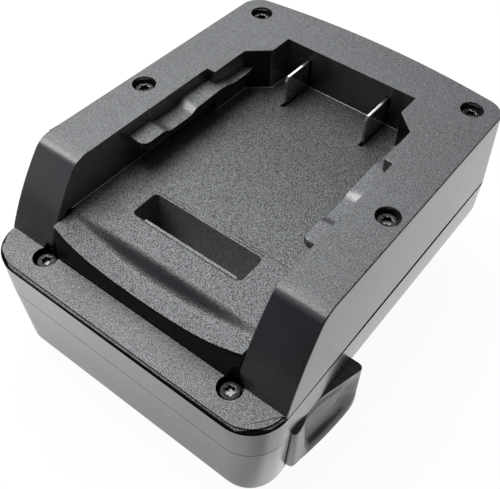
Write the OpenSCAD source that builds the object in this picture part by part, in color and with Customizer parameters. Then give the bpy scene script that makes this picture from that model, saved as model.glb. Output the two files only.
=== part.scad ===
// Slide-on battery adapter for a cordless tool.
// A pack slides into the well on top, the tool slides onto the rails underneath.
// Drawn with the front edge of the casing at y = 0, then centred on its own length.

/* [Casing] */
// Width of the casing at its widest line
body_w = 88; // [84:0.5:96]
// Length of the casing, from the front edge to the middle of the rear edge
body_l = 113.1; // [108:0.1:124]
// Distance that the middle of the rear edge bows out past the corners
rear_bow = 4.1; // [2:0.1:6]
// Radius of the two front corners
front_corner_r = 10.2; // [8:0.1:12]
// Radius of the two rear corners
rear_corner_r = 7.4; // [5:0.1:9]
// Thickness of the outer walls
wall = 2.2; // [1.8:0.1:2.6]
// Thickness of the shell floors
floor_t = 2.4; // [2:0.1:3]
// Height of the lower shell
foot_h = 21.6; // [20:0.1:25]
// Height of the middle shell's band
band_h = 11.1; // [9.5:0.1:14]
// Height of the front ledge above the band
ledge_rise = 1.0; // [0.8:0.1:1.6]
// Height of the rim above the front ledge
rim_rise = 21.7; // [20:0.1:25]
// Distance that the walls lean in up to the rim
rim_lean = 1.2; // [0.6:0.1:1.8]
// Distance that the walls lean in down to the base
base_lean = 1.2; // [0.6:0.1:1.8]
// Height of the shadow groove under the top cover
groove_h = 0.45; // [0.3:0.05:0.8]
// Depth of the shadow groove
groove_depth = 1.2; // [0.8:0.1:1.5]
// Distance that the front ledge's edge is set in above the groove
ledge_step = 0.85; // [0.5:0.05:1.2]
// Thickness of the flange that stays under the front ledge's set-in edge
ledge_flange = 0.35; // [0.2:0.05:0.6]

/* [Sloped front] */
// Distance from the front edge to the foot of the slope
slope_foot_y = 9.5; // [9:0.1:11]
// Distance from the front edge to where the slope would meet the rim
slope_top_y = 23.3; // [21:0.1:26]
// Radius of the slope's slight bulge
slope_r = 86; // [70:1:120]
// Radius of the fold between the slope and the rim
fold_r = 5; // [3:0.5:6]

/* [Battery well] */
// Depth of the well under the rim
well_depth = 12.7; // [11:0.1:14]
// Half of the well's width in front
well_half = 29.6; // [28:0.1:31]
// Half of the well's width behind the jog
neck_half = 26.9; // [26:0.1:28]
// Half of the well's width at the blades
blade_bay_half = 21; // [19:0.1:23]
// Distance from the well's rear wall to the rear edge of the casing
rear_bay = 16.8; // [15:0.1:19]
// Length of the narrow bay that holds the blades
blade_bay_l = 7.3; // [6:0.1:9]
// Length of the slanted walls in front of that bay
taper_l = 5.5; // [4:0.1:8]
// Length of the neck between the jog and the slanted walls
neck_l = 13; // [11:0.1:15]
// Thickness of the well's walls
well_wall = 2.0; // [1.6:0.1:2.4]
// Thickness of the deck
deck_t = 2.4; // [2:0.1:3]

/* [Seat rails] */
// Distance from the front edge to the front end of the seat rails
rail_y = 40; // [38:0.5:44]
// Distance that the seat rails run past the start of the slanted walls
rail_past = 2.5; // [1:0.1:3]
// Half of the gap between the two seat rails
rail_gap_half = 24.2; // [22.5:0.1:25]
// Height of the channel under the seat rails
channel_h = 6.4; // [5.5:0.1:7.2]
// Thickness of the seat rails at their front end
rail_front_t = 2.1; // [1.8:0.1:2.8]
// Thickness of the seat rails in their dip
rail_dip_t = 0.9; // [0.8:0.1:1.6]
// Thickness of the seat rails on their crest
rail_crest_t = 2.1; // [1.8:0.1:2.8]
// Thickness of the seat rails at their rear end
rail_rear_t = 1.1; // [0.9:0.1:1.6]
// Extra thickness of the seat rails at the wall
rail_lean = 0.7; // [0.4:0.1:1]

/* [Deck front] */
// Distance from the front edge to the line where the deck starts to fall
fall_y = 36.8; // [36.8:0.1:38]
// Fall of the deck ahead of the step
fall = 0.4; // [0.2:0.05:0.6]
// Height of the shelf's edge under the deck, at the sides
shelf_side_drop = 1.1; // [0.8:0.1:1.6]
// Height of the shelf's edge under the deck, in the middle
shelf_mid_drop = 4.2; // [3:0.1:4.8]
// Distance from the front edge to the shelf's edge, in the middle
shelf_mid_y = 9.7; // [9.6:0.1:10.5]
// Distance from the front edge to the step's foot, in the middle
step_mid_y = 14.2; // [13.5:0.1:15]
// Distance from the front edge to the step's foot, at the sides
step_side_y = 17.2; // [16.5:0.1:18]
// Length of the step
step_l = 3.6; // [2.5:0.1:4.2]

/* [Catch pocket] */
// Width of the pocket that catches the pack's latch
pocket_w = 34.5; // [28:0.5:38]
// Length of the pocket
pocket_l = 8.5; // [7:0.1:9]
// Distance from the front edge to the pocket
pocket_y = 26.8; // [26:0.1:27.2]
// Depth of the pocket
pocket_depth = 14; // [10:0.1:14.6]
// Thickness of the pocket's cup
cup_t = 1.4; // [1:0.1:1.5]
// Radius of the pocket's corners
pocket_r = 1.2; // [0.8:0.1:2]

/* [Tool rail block] */
// Length of the full-width foot in front of the rail block
foot_l = 40; // [39:0.5:42]
// Half of the rail block's width
block_half = 23.5; // [22.5:0.1:25]
// Distance from the rail block's rear end to the rear edge of the casing
block_inset = 7; // [6:0.5:10]
// Reach of the side rails past the block
flange_w = 6; // [5:0.1:6.4]
// Thickness of the side rails
flange_t = 4; // [3:0.1:5]
// Height of the side rails above the base
flange_z = 9.4; // [8:0.1:10]

/* [Contacts] */
// Distance between the two contacts
contact_pitch = 26.6; // [25:0.1:27]
// Thickness of the blades
blade_t = 0.8; // [0.6:0.05:1]
// Length of the blades in the well
blade_l = 11.4; // [9:0.1:13]
// Height of the blades above the deck
blade_h = 9.1; // [8:0.1:10]
// Depth that the blades sit in the rear wall
blade_seat = 1.0; // [0.6:0.1:1.4]
// Length of the female clips
clip_l = 15.5; // [12:0.5:17]
// Half of the clips' outer width
clip_half = 2.0; // [1.8:0.1:2.3]
// Thickness of the clips' sheet metal
clip_t = 0.6; // [0.4:0.05:0.7]
// Diameter of the leads
lead_d = 3.0; // [2.4:0.1:3.4]
// Bend radius of the leads
lead_bend = 5; // [4:0.1:5.4]

/* [Release latches] */
// Height of the latch wings
wing_h = 17.8; // [16:0.1:18.3]
// Distance from the front edge to the wings
wing_y = 12.4; // [12.2:0.1:14]
// Length of the wings
wing_l = 25.7; // [24:0.1:26]
// Reach of the wings past the casing, at their front edge
wing_out_front = 1.0; // [0.6:0.1:1.4]
// Reach of the wings past the casing, at their rear edge
wing_out_rear = 3.5; // [2.5:0.1:4]
// Radius of the wings' outer face, seen from above
wing_face_r = 112; // [90:1:150]
// Radius of the thumb scoop
scoop_r = 25; // [22:0.5:32]
// Depth of the thumb scoop
scoop_depth = 2.1; // [1.2:0.1:2.4]
// Diameter of the latch pivot pins
pin_d = 3.0; // [2.5:0.1:3.4]
// Radial running clearance of the pins in the latches
pin_clearance = 0.06; // [0.03:0.01:0.1]
// Outer radius of the latches' barrels
barrel_r = 2.9; // [2.7:0.05:3]
// Reach of the hooks past their arms
hook_reach = 2.6; // [2:0.1:3]
// Height of the latch arms
arm_h = 8; // [6:0.5:9]
// Gap between the latches and the casing
latch_gap = 0.3; // [0.3:0.05:0.4]
// Angle that a latch swings inwards
latch_swing = 6; // [4:0.5:7]
// Outer radius of the latch springs
spring_r = 2.6; // [2.2:0.1:3]
// Wire diameter of the latch springs
spring_wire = 0.6; // [0.4:0.05:0.7]
// Turns of each latch spring
spring_turns = 5; // [4:1:6]

/* [Screws] */
// Diameter of the casing screws
screw_d = 3.0; // [2.6:0.1:3.4]
// Diameter of the screw heads
head_d = 5.3; // [4.8:0.1:6]
// Height of the screw heads
head_h = 2.2; // [1.8:0.1:2.6]
// Depth of the six-lobe sockets in the heads
socket_depth = 1.3; // [0.8:0.1:1.5]
// Diameter of the counterbores
bore_d = 6.4; // [6:0.1:7]
// Depth of the screw heads under the surface
head_sink = 1.3; // [0.8:0.1:2]
// Length of the four long screws under their heads
rim_screw_l = 24; // [20:1:26]
// Length of the two front screws under their heads
front_screw_l = 16; // [12:1:20]
// Wall around each screw in its post
post_wall = 1.7; // [1.4:0.1:1.8]
// Distance from the casing's side to the rear screws
rear_screw_in = 8.8; // [8.5:0.1:9.5]
// Distance from the rear edge to the rear screws
rear_screw_y = 11.1; // [10:0.1:12]
// Distance from the casing's side to the middle screws
mid_screw_in = 6.0; // [6:0.1:6.6]
// Distance from the front edge to the middle screws
mid_screw_y = 54.6; // [50:0.2:60]
// Distance from the casing's side to the front screws
front_screw_in = 14.3; // [13.5:0.1:15]
// Distance from the front edge to the front screws
front_screw_y = 7.7; // [7.2:0.1:8]
// Diameter of the small screws that hold the contact carriers
small_screw_d = 2.2; // [2:0.1:2.6]

/* [Hidden] */

// Clearances inside the casing
fit = 0.15;
screw_fit = 0.05;
screw_end = 0.5;
pin_seat = 0.02;
blade_play = 0.2;
cut = 1;

half_w = body_w / 2;
band_z = foot_h;
cover_z = band_z + band_h;
ledge_z = cover_z + ledge_rise;
rim_z = ledge_z + rim_rise;
deck_z = rim_z - well_depth;
deck_under = deck_z - deck_t;
band_lean = 0.15;

// Outline of the casing: straight sides, a bowed rear and four round corners
bow_r = (half_w * half_w + rear_bow * rear_bow) / (2 * rear_bow);
bow_y = body_l - bow_r;
rear_corner_x = half_w - rear_corner_r;
rear_corner_y = bow_y + sqrt(pow(bow_r - rear_corner_r, 2) - pow(rear_corner_x, 2));
rear_corner_dir = [rear_corner_x, rear_corner_y - bow_y] / (bow_r - rear_corner_r);
corner_blend = 0.02;

// Bulged slope: an arc through its foot and its meeting with the rim
slope_chord = sqrt(pow(slope_top_y - slope_foot_y, 2) + pow(rim_rise, 2));
slope_rise = rim_rise / slope_chord;
slope_run = (slope_top_y - slope_foot_y) / slope_chord;
slope_back = sqrt(slope_r * slope_r - slope_chord * slope_chord / 4);
slope_cy = (slope_foot_y + slope_top_y) / 2 + slope_back * slope_rise;
slope_cz = ledge_z + rim_rise / 2 - slope_back * slope_run;
fold_z = rim_z - fold_r;
fold_y = slope_cy - sqrt(pow(slope_r - fold_r, 2) - pow(fold_z - slope_cz, 2));
fold_dir = [fold_y - slope_cy, fold_z - slope_cz] / (slope_r - fold_r);
function slope_y(z) = slope_cy - sqrt(slope_r * slope_r - pow(z - slope_cz, 2));

// Places along the well
well_end_y = body_l - rear_bay;
bay_y = well_end_y - blade_bay_l;
taper_y = bay_y - taper_l;
jog_y = taper_y - neck_l;
well_front_y = slope_foot_y - 0.25;
seat_end_y = taper_y + rail_past;
taper_turn = tan(atan2(neck_half - blade_bay_half, taper_l) / 2);
rail_z = deck_z + channel_h;
rail_root = 0.5;

// Places of the screws
screw_r = screw_d / 2;
post_r = screw_r + post_wall;
bore_r = bore_d / 2;
head_seat = head_sink + head_h;
rear_screw = [half_w - rear_screw_in, body_l - rear_screw_y];
mid_screw = [half_w - mid_screw_in, mid_screw_y];
front_screw = [half_w - front_screw_in, front_screw_y];
cover_post_r = bore_r + 0.7;
post_meet_z = deck_under + 0.2;
front_meet_z = ledge_z - head_seat - 1.7;
small_r = small_screw_d / 2;
small_head_h = 1.5;
blade_screw_l = 5.5;
clip_screw_l = 10;
carrier_gap = 0.3;
carrier_lap = 1;

// Ribs of the middle shell under the deck
rib_x = well_half - 0.9;
rib_y = step_side_y + step_l + 2.2;
rib_gap = 0.2;
rib_drop = 1.6;
post_gap = 0.3;

// Rail block and contacts
block_end_y = body_l - block_inset;
block_in = block_half - wall;
plate_z = band_z + floor_t;
plate_y = foot_l - wall;
contact_x = contact_pitch / 2;
blade_y = well_end_y - blade_l;
blade_end_y = well_end_y + blade_seat;
carrier_t = 4;
carrier_z = deck_under - carrier_t;
carrier_half = contact_x + 5.7;
clip_end_y = block_end_y - wall - 1.3;
clip_y = clip_end_y - clip_l;
clip_base_z = 13.5;
clip_carrier_t = 4;
tool_slot_w = 3;
tool_slot_h = 10.5;
tail_l = 4.6;
tail_y = blade_y + 3.1;
blade_tail_z = carrier_z - 7;
lead_top_z = blade_tail_z + lead_d / 2 + 0.5;
lead_low_z = lead_top_z - 2 * lead_bend;
lead_straight = 3;
small_boss_r = small_r + 1.4;
clip_screw = [max(block_in - small_boss_r - 0.5, contact_x + clip_half + small_boss_r + carrier_gap),
    (clip_y + clip_end_y) / 2];
blade_screw = [contact_x - 7.8, (blade_y + blade_end_y) / 2];

// Latches
wing_top_z = band_z - latch_gap;
wing_z = wing_top_z - wing_h;
wing_end_y = wing_y + wing_l;
wing_in_x = half_w - 2.8;
pivot_x = half_w - 4.4;
pivot_y = wing_y + 3.2;
pin_r = pin_d / 2;
pin_top_z = wing_top_z - 0.7;
pin_foot_z = 0.8;
barrel_top_z = pin_top_z;
arm_z = 8;
arm_w = 3;
arm_out_x = half_w - 6.6;
arm_in_x = arm_out_x - arm_w;
arm_root_x = half_w - 6;
hook_y = foot_l + 7;
hook_end_y = hook_y + 6;
hook_lip = 1.2;
spring_arm = 11.4;
spring_y = pivot_y + spring_arm;
spring_z = arm_z + arm_h / 2;
spring_x = arm_root_x - 6.5;
stud_r = spring_r - spring_wire - 0.5;
stud_l = 1.5;
stop_t = 1.6;
spring_rib_t = 2;
spring_rib_half = 4;
pad_l = 4.1;
wing_web = 0.5;
arm_bend_y = wing_end_y - 5;
wing_reach = 10;
scoop_y = pivot_y + 6.3;
rear_wall_half = arm_in_x - (foot_l - pivot_y) * tan(latch_swing) - 2 * latch_gap;

// Wing face: an arc through the front and rear corners of the wing
wing_a = [half_w + wing_out_front, wing_y + 1.1];
wing_b = [half_w + wing_out_rear, wing_end_y - 0.6];
wing_chord = norm(wing_b - wing_a);
wing_n = [wing_b[1] - wing_a[1], wing_a[0] - wing_b[0]] / wing_chord;
wing_c = (wing_a + wing_b) / 2 - sqrt(pow(wing_face_r, 2) - pow(wing_chord / 2, 2)) * wing_n;

smooth_fn = 96;
wide_fn = 720;

// Smooth step from 0 to 1
function ease(t) = t <= 0 ? 0 : t >= 1 ? 1 : (1 - cos(180 * t)) / 2;

// Half outline of the well, grown outwards by g, from its front end to its rear wall
function well_side(g, y0) = [
    [well_half + g, y0], [well_half + g, jog_y + g], [neck_half + g, jog_y + g],
    [neck_half + g, taper_y + g * taper_turn],
    [blade_bay_half + g, bay_y + g * taper_turn],
    [blade_bay_half + g, well_end_y + g]];
function mirrored(side) = concat(side, [for (i = [len(side) - 1 : -1 : 0]) [-side[i][0], side[i][1]]]);

// Centres the drawing on the casing's length
module centred() {
    translate([0, -body_l / 2, 0]) children();
}

module both_sides() {
    children();
    mirror([1, 0, 0]) children();
}

// Prism along x from a profile in y and z
module across(x0, x1, profile) {
    translate([x0, 0, 0]) rotate([90, 0, 90]) linear_extrude(x1 - x0) polygon(profile);
}

// Solid between rings of points, each ring a closed loop
module loft(rings) {
    n = len(rings[0]);
    m = len(rings);
    sides = [for (i = [0 : m - 2], j = [0 : n - 1])
        let (k = (j + 1) % n)
        each [[i * n + j, i * n + k, (i + 1) * n + k], [i * n + j, (i + 1) * n + k, (i + 1) * n + j]]];
    first = [for (j = [n - 1 : -1 : 0]) j];
    last = [for (j = [0 : n - 1]) (m - 1) * n + j];
    polyhedron(points = [for (r = rings) each r], faces = concat(sides, [first], [last]));
}

// Casing outline between two heights, set in by one distance at each
module casing(z0, z1, in0, in1) {
    difference() {
        intersection() {
            translate([0, body_l + cut, 0]) rotate([90, 0, 0]) linear_extrude(body_l + 2 * cut)
                polygon([[in0 - half_w, z0], [half_w - in0, z0], [half_w - in1, z1], [in1 - half_w, z1]]);
            across(-half_w - cut, half_w + cut,
                [[in0, z0], [body_l + cut, z0], [body_l + cut, z1], [in1, z1]]);
            translate([0, bow_y, z0])
                cylinder(h = z1 - z0, r1 = bow_r - in0, r2 = bow_r - in1, $fn = wide_fn);
        }
        both_sides() {
            difference() {
                translate([half_w - front_corner_r, -cut, z0 - cut])
                    cube([front_corner_r + cut, front_corner_r + cut, z1 - z0 + 2 * cut]);
                translate([half_w - front_corner_r, front_corner_r, z0])
                    cylinder(h = z1 - z0, r1 = front_corner_r - in0, r2 = front_corner_r - in1, $fn = smooth_fn);
            }
            difference() {
                translate([rear_corner_x, rear_corner_y, z0 - cut]) linear_extrude(z1 - z0 + 2 * cut)
                    polygon([[0, 0], [rear_corner_r + cut, 0], [rear_corner_r + cut, 2 * rear_corner_r],
                        2 * rear_corner_r * rear_corner_dir]);
                translate([rear_corner_x, rear_corner_y, z0])
                    cylinder(h = z1 - z0, r1 = rear_corner_r + corner_blend - in0,
                        r2 = rear_corner_r + corner_blend - in1, $fn = smooth_fn);
            }
        }
    }
}

// Everything in front of the bulged slope, set back by one distance
module ahead_of_slope(back) {
    difference() {
        translate([-half_w - cut, -cut, ledge_z - back])
            cube([body_w + 2 * cut, slope_top_y + fold_r + cut, rim_rise + back + cut]);
        translate([-half_w - 2 * cut, slope_cy, slope_cz]) rotate([0, 90, 0])
            cylinder(h = body_w + 4 * cut, r = slope_r - back, $fn = wide_fn);
    }
}

// Sliver that the fold takes off the edge between the slope and the rim
module fold_cut() {
    difference() {
        across(-half_w - cut, half_w + cut, [[fold_y, fold_z], [fold_y, rim_z + cut],
            [fold_y - 2 * fold_r, rim_z + cut], [fold_y, fold_z] + (fold_r + 2 * cut) * fold_dir]);
        translate([-half_w - 2 * cut, fold_y, fold_z]) rotate([0, 90, 0])
            cylinder(h = body_w + 4 * cut, r = fold_r, $fn = smooth_fn);
    }
}

// The well's outline as a prism between two heights
module well_prism(g, y0, z0, z1) {
    translate([0, 0, z0]) linear_extrude(z1 - z0) polygon(mirrored(well_side(g, y0)));
}

// Wavy top of the seat rails: shares of a length and the thickness there
rail_front_wave = [[0, rail_front_t], [0.23, rail_front_t], [0.34, rail_dip_t], [0.56, rail_dip_t],
    [0.68, rail_crest_t], [1, rail_crest_t]];
rail_rear_wave = [[0, rail_crest_t], [0.35, rail_rear_t], [1, rail_rear_t]];

// One stretch of a seat rail, from its inner edge into the wall
module seat_rail(y0, y1, x_wall, wave) {
    loft([for (w = wave) let (y = y0 + (y1 - y0) * w[0]) [
        [rail_gap_half, y, rail_z], [x_wall, y, rail_z],
        [x_wall, y, rail_z + w[1] + rail_lean], [rail_gap_half, y, rail_z + w[1]]]]);
}

module screw_bore(at, surface_z) {
    translate([at[0], at[1], surface_z - head_seat]) cylinder(h = rim_rise, r = bore_r, $fn = smooth_fn);
    translate([at[0], at[1], surface_z - rim_z])
        cylinder(h = rim_z - head_seat + cut, r = screw_r + screw_fit, $fn = smooth_fn);
}

module top_cover() {
    color([0.17, 0.17, 0.18]) centred() difference() {
        union() {
            difference() {
                casing(cover_z, rim_z, 0, rim_lean);
                ahead_of_slope(0);
                fold_cut();
                // Set-in edge of the front ledge
                difference() {
                    translate([-half_w - cut, -cut, cover_z + ledge_flange])
                        cube([body_w + 2 * cut, slope_foot_y + cut, ledge_rise]);
                    casing(cover_z, rim_z, ledge_step, ledge_step);
                }
                // Hollow of the arms and the rear bay
                difference() {
                    casing(cover_z - cut, rim_z - wall, wall, wall + rim_lean);
                    ahead_of_slope(wall);
                    translate([-half_w, 0, cover_z - 2 * cut])
                        cube([body_w, slope_y(ledge_z) + wall, ledge_rise + 2 * cut]);
                    well_prism(well_wall, well_front_y, deck_z, rim_z);
                }
            }
            // Plate under the ledge, inside the band
            intersection() {
                casing(front_meet_z, cover_z, wall + fit, wall + fit);
                translate([-half_w, 0, cover_z - 1.7]) cube([body_w, slope_foot_y + wall, 1.7]);
            }
            intersection() {
                both_sides() {
                    for (at = [rear_screw, mid_screw])
                        translate([at[0], at[1], post_meet_z])
                            cylinder(h = rim_z - wall - post_meet_z + 0.5, r = cover_post_r, $fn = smooth_fn);
                    translate([front_screw[0], front_screw[1], front_meet_z])
                        cylinder(h = ledge_z - front_meet_z - 0.5, r = cover_post_r, $fn = smooth_fn);
                }
                casing(front_meet_z, rim_z, wall + fit, wall + fit);
            }
        }
        well_prism(0, well_front_y, cover_z - 4, rim_z + cut);
        both_sides() {
            screw_bore(rear_screw, rim_z);
            screw_bore(mid_screw, rim_z);
            screw_bore(front_screw, ledge_z);
            // Slot that holds the rear edge of a blade
            translate([contact_x - blade_t / 2 - blade_play, well_end_y - cut, deck_z - cut])
                cube([blade_t + 2 * blade_play, blade_seat + blade_play + cut, blade_h + blade_play + cut]);
        }
    }
    color([0.17, 0.17, 0.18]) centred() both_sides() {
        seat_rail(rail_y, jog_y + rail_root, well_half + rail_root, rail_front_wave);
        seat_rail(jog_y + rail_root, seat_end_y, neck_half + rail_root, rail_rear_wave);
    }
}

// Profile of the deck's front at x: apron, shelf, step and the fall to the flat deck
deck_front_half = well_half - 0.05;
shelf_side_z = deck_z - shelf_side_drop;
function across_share(x) = pow(x / deck_front_half, 2);
function shelf_z(x) = deck_z - shelf_mid_drop + (shelf_mid_drop - shelf_side_drop) * across_share(x);
function shelf_y(x) = shelf_mid_y + (slope_y(shelf_side_z) - shelf_mid_y) * across_share(x);
function step_y(x) = step_mid_y + (step_side_y - step_mid_y) * across_share(x);
apron_y = well_front_y + 0.1;
edge_r = 0.8;
// The apron's two corners stand back from the heads of the front screws
notch_x = front_screw[0] - bore_r;
notch_l = max(0, front_screw[1] + head_d / 2 + 0.3 - apron_y);
function apron_front(x) = abs(x) > notch_x + 0.1 ? apron_y + notch_l : apron_y;
function deck_front_profile(x) =
    let (ya = apron_front(x), ze = shelf_z(x), ye = shelf_y(x), ys = step_y(x), zt = deck_z - fall)
    concat(
        [[ya, cover_z - 1.6], [ya, ledge_z]],
        [for (a = [20, 55, 90]) [ye + edge_r - edge_r * sin(a + 20) , ze - edge_r + edge_r * sin(a)]],
        [for (i = [0 : 6]) let (t = i / 6)
            [ys + step_l * t, ze + (zt - ze) * ease(t)]],
        [[fall_y, deck_z]]);
apron_t = 2.0;
module deck_front() {
    steps = 18;
    side = [notch_x + 0.3, deck_front_half];
    places = concat([-side[1], -side[0]], [for (i = [0 : steps]) notch_x * (2 * i / steps - 1)], side);
    loft([for (x = places)
        let (p = deck_front_profile(x), n = len(p))
        concat(
            [for (q = p) [x, q[0], q[1]]],
            [[x, fall_y, deck_under]],
            [for (j = [n - 2 : -1 : 1]) [x, p[j][0] + apron_t, p[j][1] - deck_t]],
            [[x, p[0][0] + apron_t, cover_z - 1.6]])]);
}

// Slot through the deck or a carrier for one blade
module blade_slot(z0, z1) {
    translate([contact_x - blade_t / 2 - blade_play, blade_y - 1.2, z0])
        cube([blade_t + 2 * blade_play, blade_end_y - blade_y + 1.4, z1 - z0]);
}

// Rounded box standing on z0
module pocket_box(grow, z0, z1) {
    r = pocket_r + grow;
    x = pocket_w / 2 + grow;
    translate([0, 0, z0]) linear_extrude(z1 - z0) union() {
        translate([-x + r, pocket_y - grow]) square([2 * (x - r), pocket_l + 2 * grow]);
        translate([-x, pocket_y - grow + r]) square([2 * x, pocket_l + 2 * (grow - r)]);
        for (sx = [-1, 1], ey = [pocket_y - grow + r, pocket_y + pocket_l + grow - r])
            translate([sx * (x - r), ey]) circle(r = r, $fn = 48);
    }
}

module deck() {
    color([0.2, 0.2, 0.21]) centred() difference() {
        union() {
            well_prism(well_wall, fall_y, deck_under, deck_z);
            deck_front();
            // Strips that the arms stand on
            both_sides() translate([deck_front_half - 0.5, slope_y(deck_z) + wall + 1, deck_under])
                cube([well_half + well_wall - deck_front_half + 0.5, fall_y - slope_y(deck_z) - wall, deck_t]);
            pocket_box(cup_t, deck_z - pocket_depth - cup_t, deck_z - fall);
            both_sides() translate([blade_screw[0], blade_screw[1], carrier_z + cut])
                cylinder(h = carrier_t, r = small_boss_r, $fn = 48);
        }
        pocket_box(0, deck_z - pocket_depth, deck_z + cut);
        both_sides() {
            blade_slot(carrier_z, deck_z + cut);
            translate([blade_screw[0], blade_screw[1], carrier_z - cut])
                cylinder(h = blade_screw_l + screw_end + cut, r = small_r + screw_fit, $fn = 48);
        }
    }
}

module middle_shell() {
    color([0.19, 0.19, 0.2]) centred() difference() {
        union() {
            difference() {
                casing(band_z, cover_z, band_lean, 0);
                casing(band_z - cut, cover_z + cut, wall + band_lean, wall);
                // Shadow groove along the outer edge
                difference() {
                    translate([-half_w - cut, -cut, cover_z - groove_h])
                        cube([body_w + 2 * cut, body_l + 2 * cut, groove_h + cut]);
                    casing(band_z, cover_z + 2 * cut, groove_depth, groove_depth);
                }
            }
            // Floor over the latches
            intersection() {
                casing(band_z, cover_z, wall - 0.2, wall - 0.2);
                translate([-half_w, 0, band_z]) cube([body_w, plate_y - fit, floor_t - 0.2]);
            }
            // Ribs that carry the deck
            intersection() {
                casing(band_z, rim_z, wall - 0.2, wall - 0.2);
                both_sides() {
                    translate([rib_x, rib_y, band_z])
                        cube([well_wall, plate_y - fit - rib_y, deck_under - fall - rib_gap - band_z]);
                    translate([rib_x, rib_y, plate_z + rib_gap])
                        cube([well_wall, fall_y - rib_y, deck_under - fall - 2 * rib_gap - plate_z]);
                    translate([rib_x, fall_y - cut, plate_z + rib_gap])
                        cube([well_wall, jog_y - fall_y, deck_under - plate_z - rib_gap]);
                    translate([rib_x, rib_y, plate_z + rib_gap])
                        cube([well_wall, body_l, cover_z - plate_z - 2 * rib_gap - rib_drop]);
                }
            }
        }
        // Room for the posts and screws that come up through the band
        both_sides() for (at = [front_screw, mid_screw, rear_screw])
            translate([at[0], at[1], band_z - cut])
                cylinder(h = rim_z, r = post_r + post_gap, $fn = smooth_fn);
    }
}

module post(at, z0, z1) {
    translate([at[0], at[1], z0]) cylinder(h = z1 - z0, r = post_r, $fn = smooth_fn);
}

module pilot(at, z0) {
    translate([at[0], at[1], z0]) cylinder(h = rim_z, r = screw_r + screw_fit, $fn = smooth_fn);
}

module lower_shell() {
    color([0.18, 0.18, 0.19]) centred() difference() {
        union() {
            // Full-width foot
            difference() {
                intersection() {
                    casing(0, band_z, base_lean, band_lean);
                    translate([-half_w, 0, 0]) cube([body_w, foot_l, band_z]);
                }
                intersection() {
                    casing(0, band_z + cut, base_lean + wall, band_lean + wall);
                    translate([-half_w, wall, floor_t]) cube([body_w, plate_y - wall, band_z]);
                }
                // Openings for the latches, in the sides and past the rear wall
                both_sides() {
                    translate([wing_in_x - 1.4, wing_y - latch_gap, wing_z - latch_gap])
                        cube([wing_reach, foot_l, band_z]);
                    translate([rear_wall_half, plate_y - cut, floor_t])
                        cube([half_w, wall + 2 * cut, band_z]);
                }
            }
            // Plate that closes the casing behind the foot
            intersection() {
                casing(band_z, cover_z, wall + band_lean + fit, wall + fit);
                translate([-half_w, plate_y, band_z]) cube([body_w, body_l, floor_t]);
            }
            // Rail block with its two side rails
            translate([-block_half, plate_y, 0]) cube([2 * block_half, block_end_y - plate_y, band_z + 1]);
            both_sides() {
                translate([block_half - cut, plate_y, flange_z])
                    cube([flange_w + cut, block_end_y - plate_y, flange_t]);
                // Stop for the latch arm
                translate([arm_out_x + latch_gap, foot_l + stop_t, arm_z + arm_h - stop_t])
                    cube([stop_t, 2 * stop_t, band_z - arm_z - arm_h + 2 * stop_t]);
                // Rib and stud that carry the latch spring
                translate([spring_x - spring_rib_t, spring_y - spring_rib_half, 0])
                    cube([spring_rib_t, 2 * spring_rib_half, arm_z + arm_h + spring_rib_t]);
                translate([spring_x - cut, spring_y, spring_z]) rotate([0, 90, 0])
                    cylinder(h = stud_l + cut, r = stud_r, $fn = 48);
                translate([pivot_x, pivot_y, 0]) cylinder(h = wing_z - latch_gap, r = barrel_r, $fn = 48);
                post(front_screw, 0, front_meet_z);
                post(rear_screw, band_z + 1, post_meet_z);
                post(mid_screw, band_z + 1, post_meet_z);
            }
        }
        // Hollow of the rail block
        difference() {
            translate([-block_in, foot_l + wall, floor_t])
                cube([2 * block_in, block_end_y - foot_l - 2 * wall, rim_z]);
            both_sides() translate([clip_screw[0], clip_screw[1], 0])
                cylinder(h = clip_base_z, r = small_boss_r, $fn = 48);
        }
        both_sides() {
            pilot(rear_screw, rim_z - head_seat - rim_screw_l - screw_end);
            pilot(mid_screw, rim_z - head_seat - rim_screw_l - screw_end);
            pilot(front_screw, ledge_z - head_seat - front_screw_l - screw_end);
            translate([pivot_x, pivot_y, pin_foot_z]) cylinder(h = foot_h, r = pin_r + pin_seat, $fn = 48);
            translate([clip_screw[0], clip_screw[1], clip_base_z + clip_carrier_t - clip_screw_l - screw_end])
                cylinder(h = clip_screw_l, r = small_r + screw_fit, $fn = 48);
            // Slot that lets the tool's blade reach the clip
            translate([contact_x - tool_slot_w / 2, clip_y - carrier_gap, -cut])
                cube([tool_slot_w, block_end_y - clip_y + cut, tool_slot_h + cut]);
        }
    }
}

// Outline of a wing seen from the side, with a round lower rear corner
module wing_side() {
    r = 4;
    translate([wing_in_x, 0, 0]) rotate([90, 0, 90]) linear_extrude(wing_reach) union() {
        translate([wing_y, wing_z]) square([wing_l - r, wing_h]);
        translate([wing_y, wing_z + r]) square([wing_l, wing_h - r]);
        translate([wing_end_y - r, wing_z + r]) circle(r = r, $fn = 48);
    }
}

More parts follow.
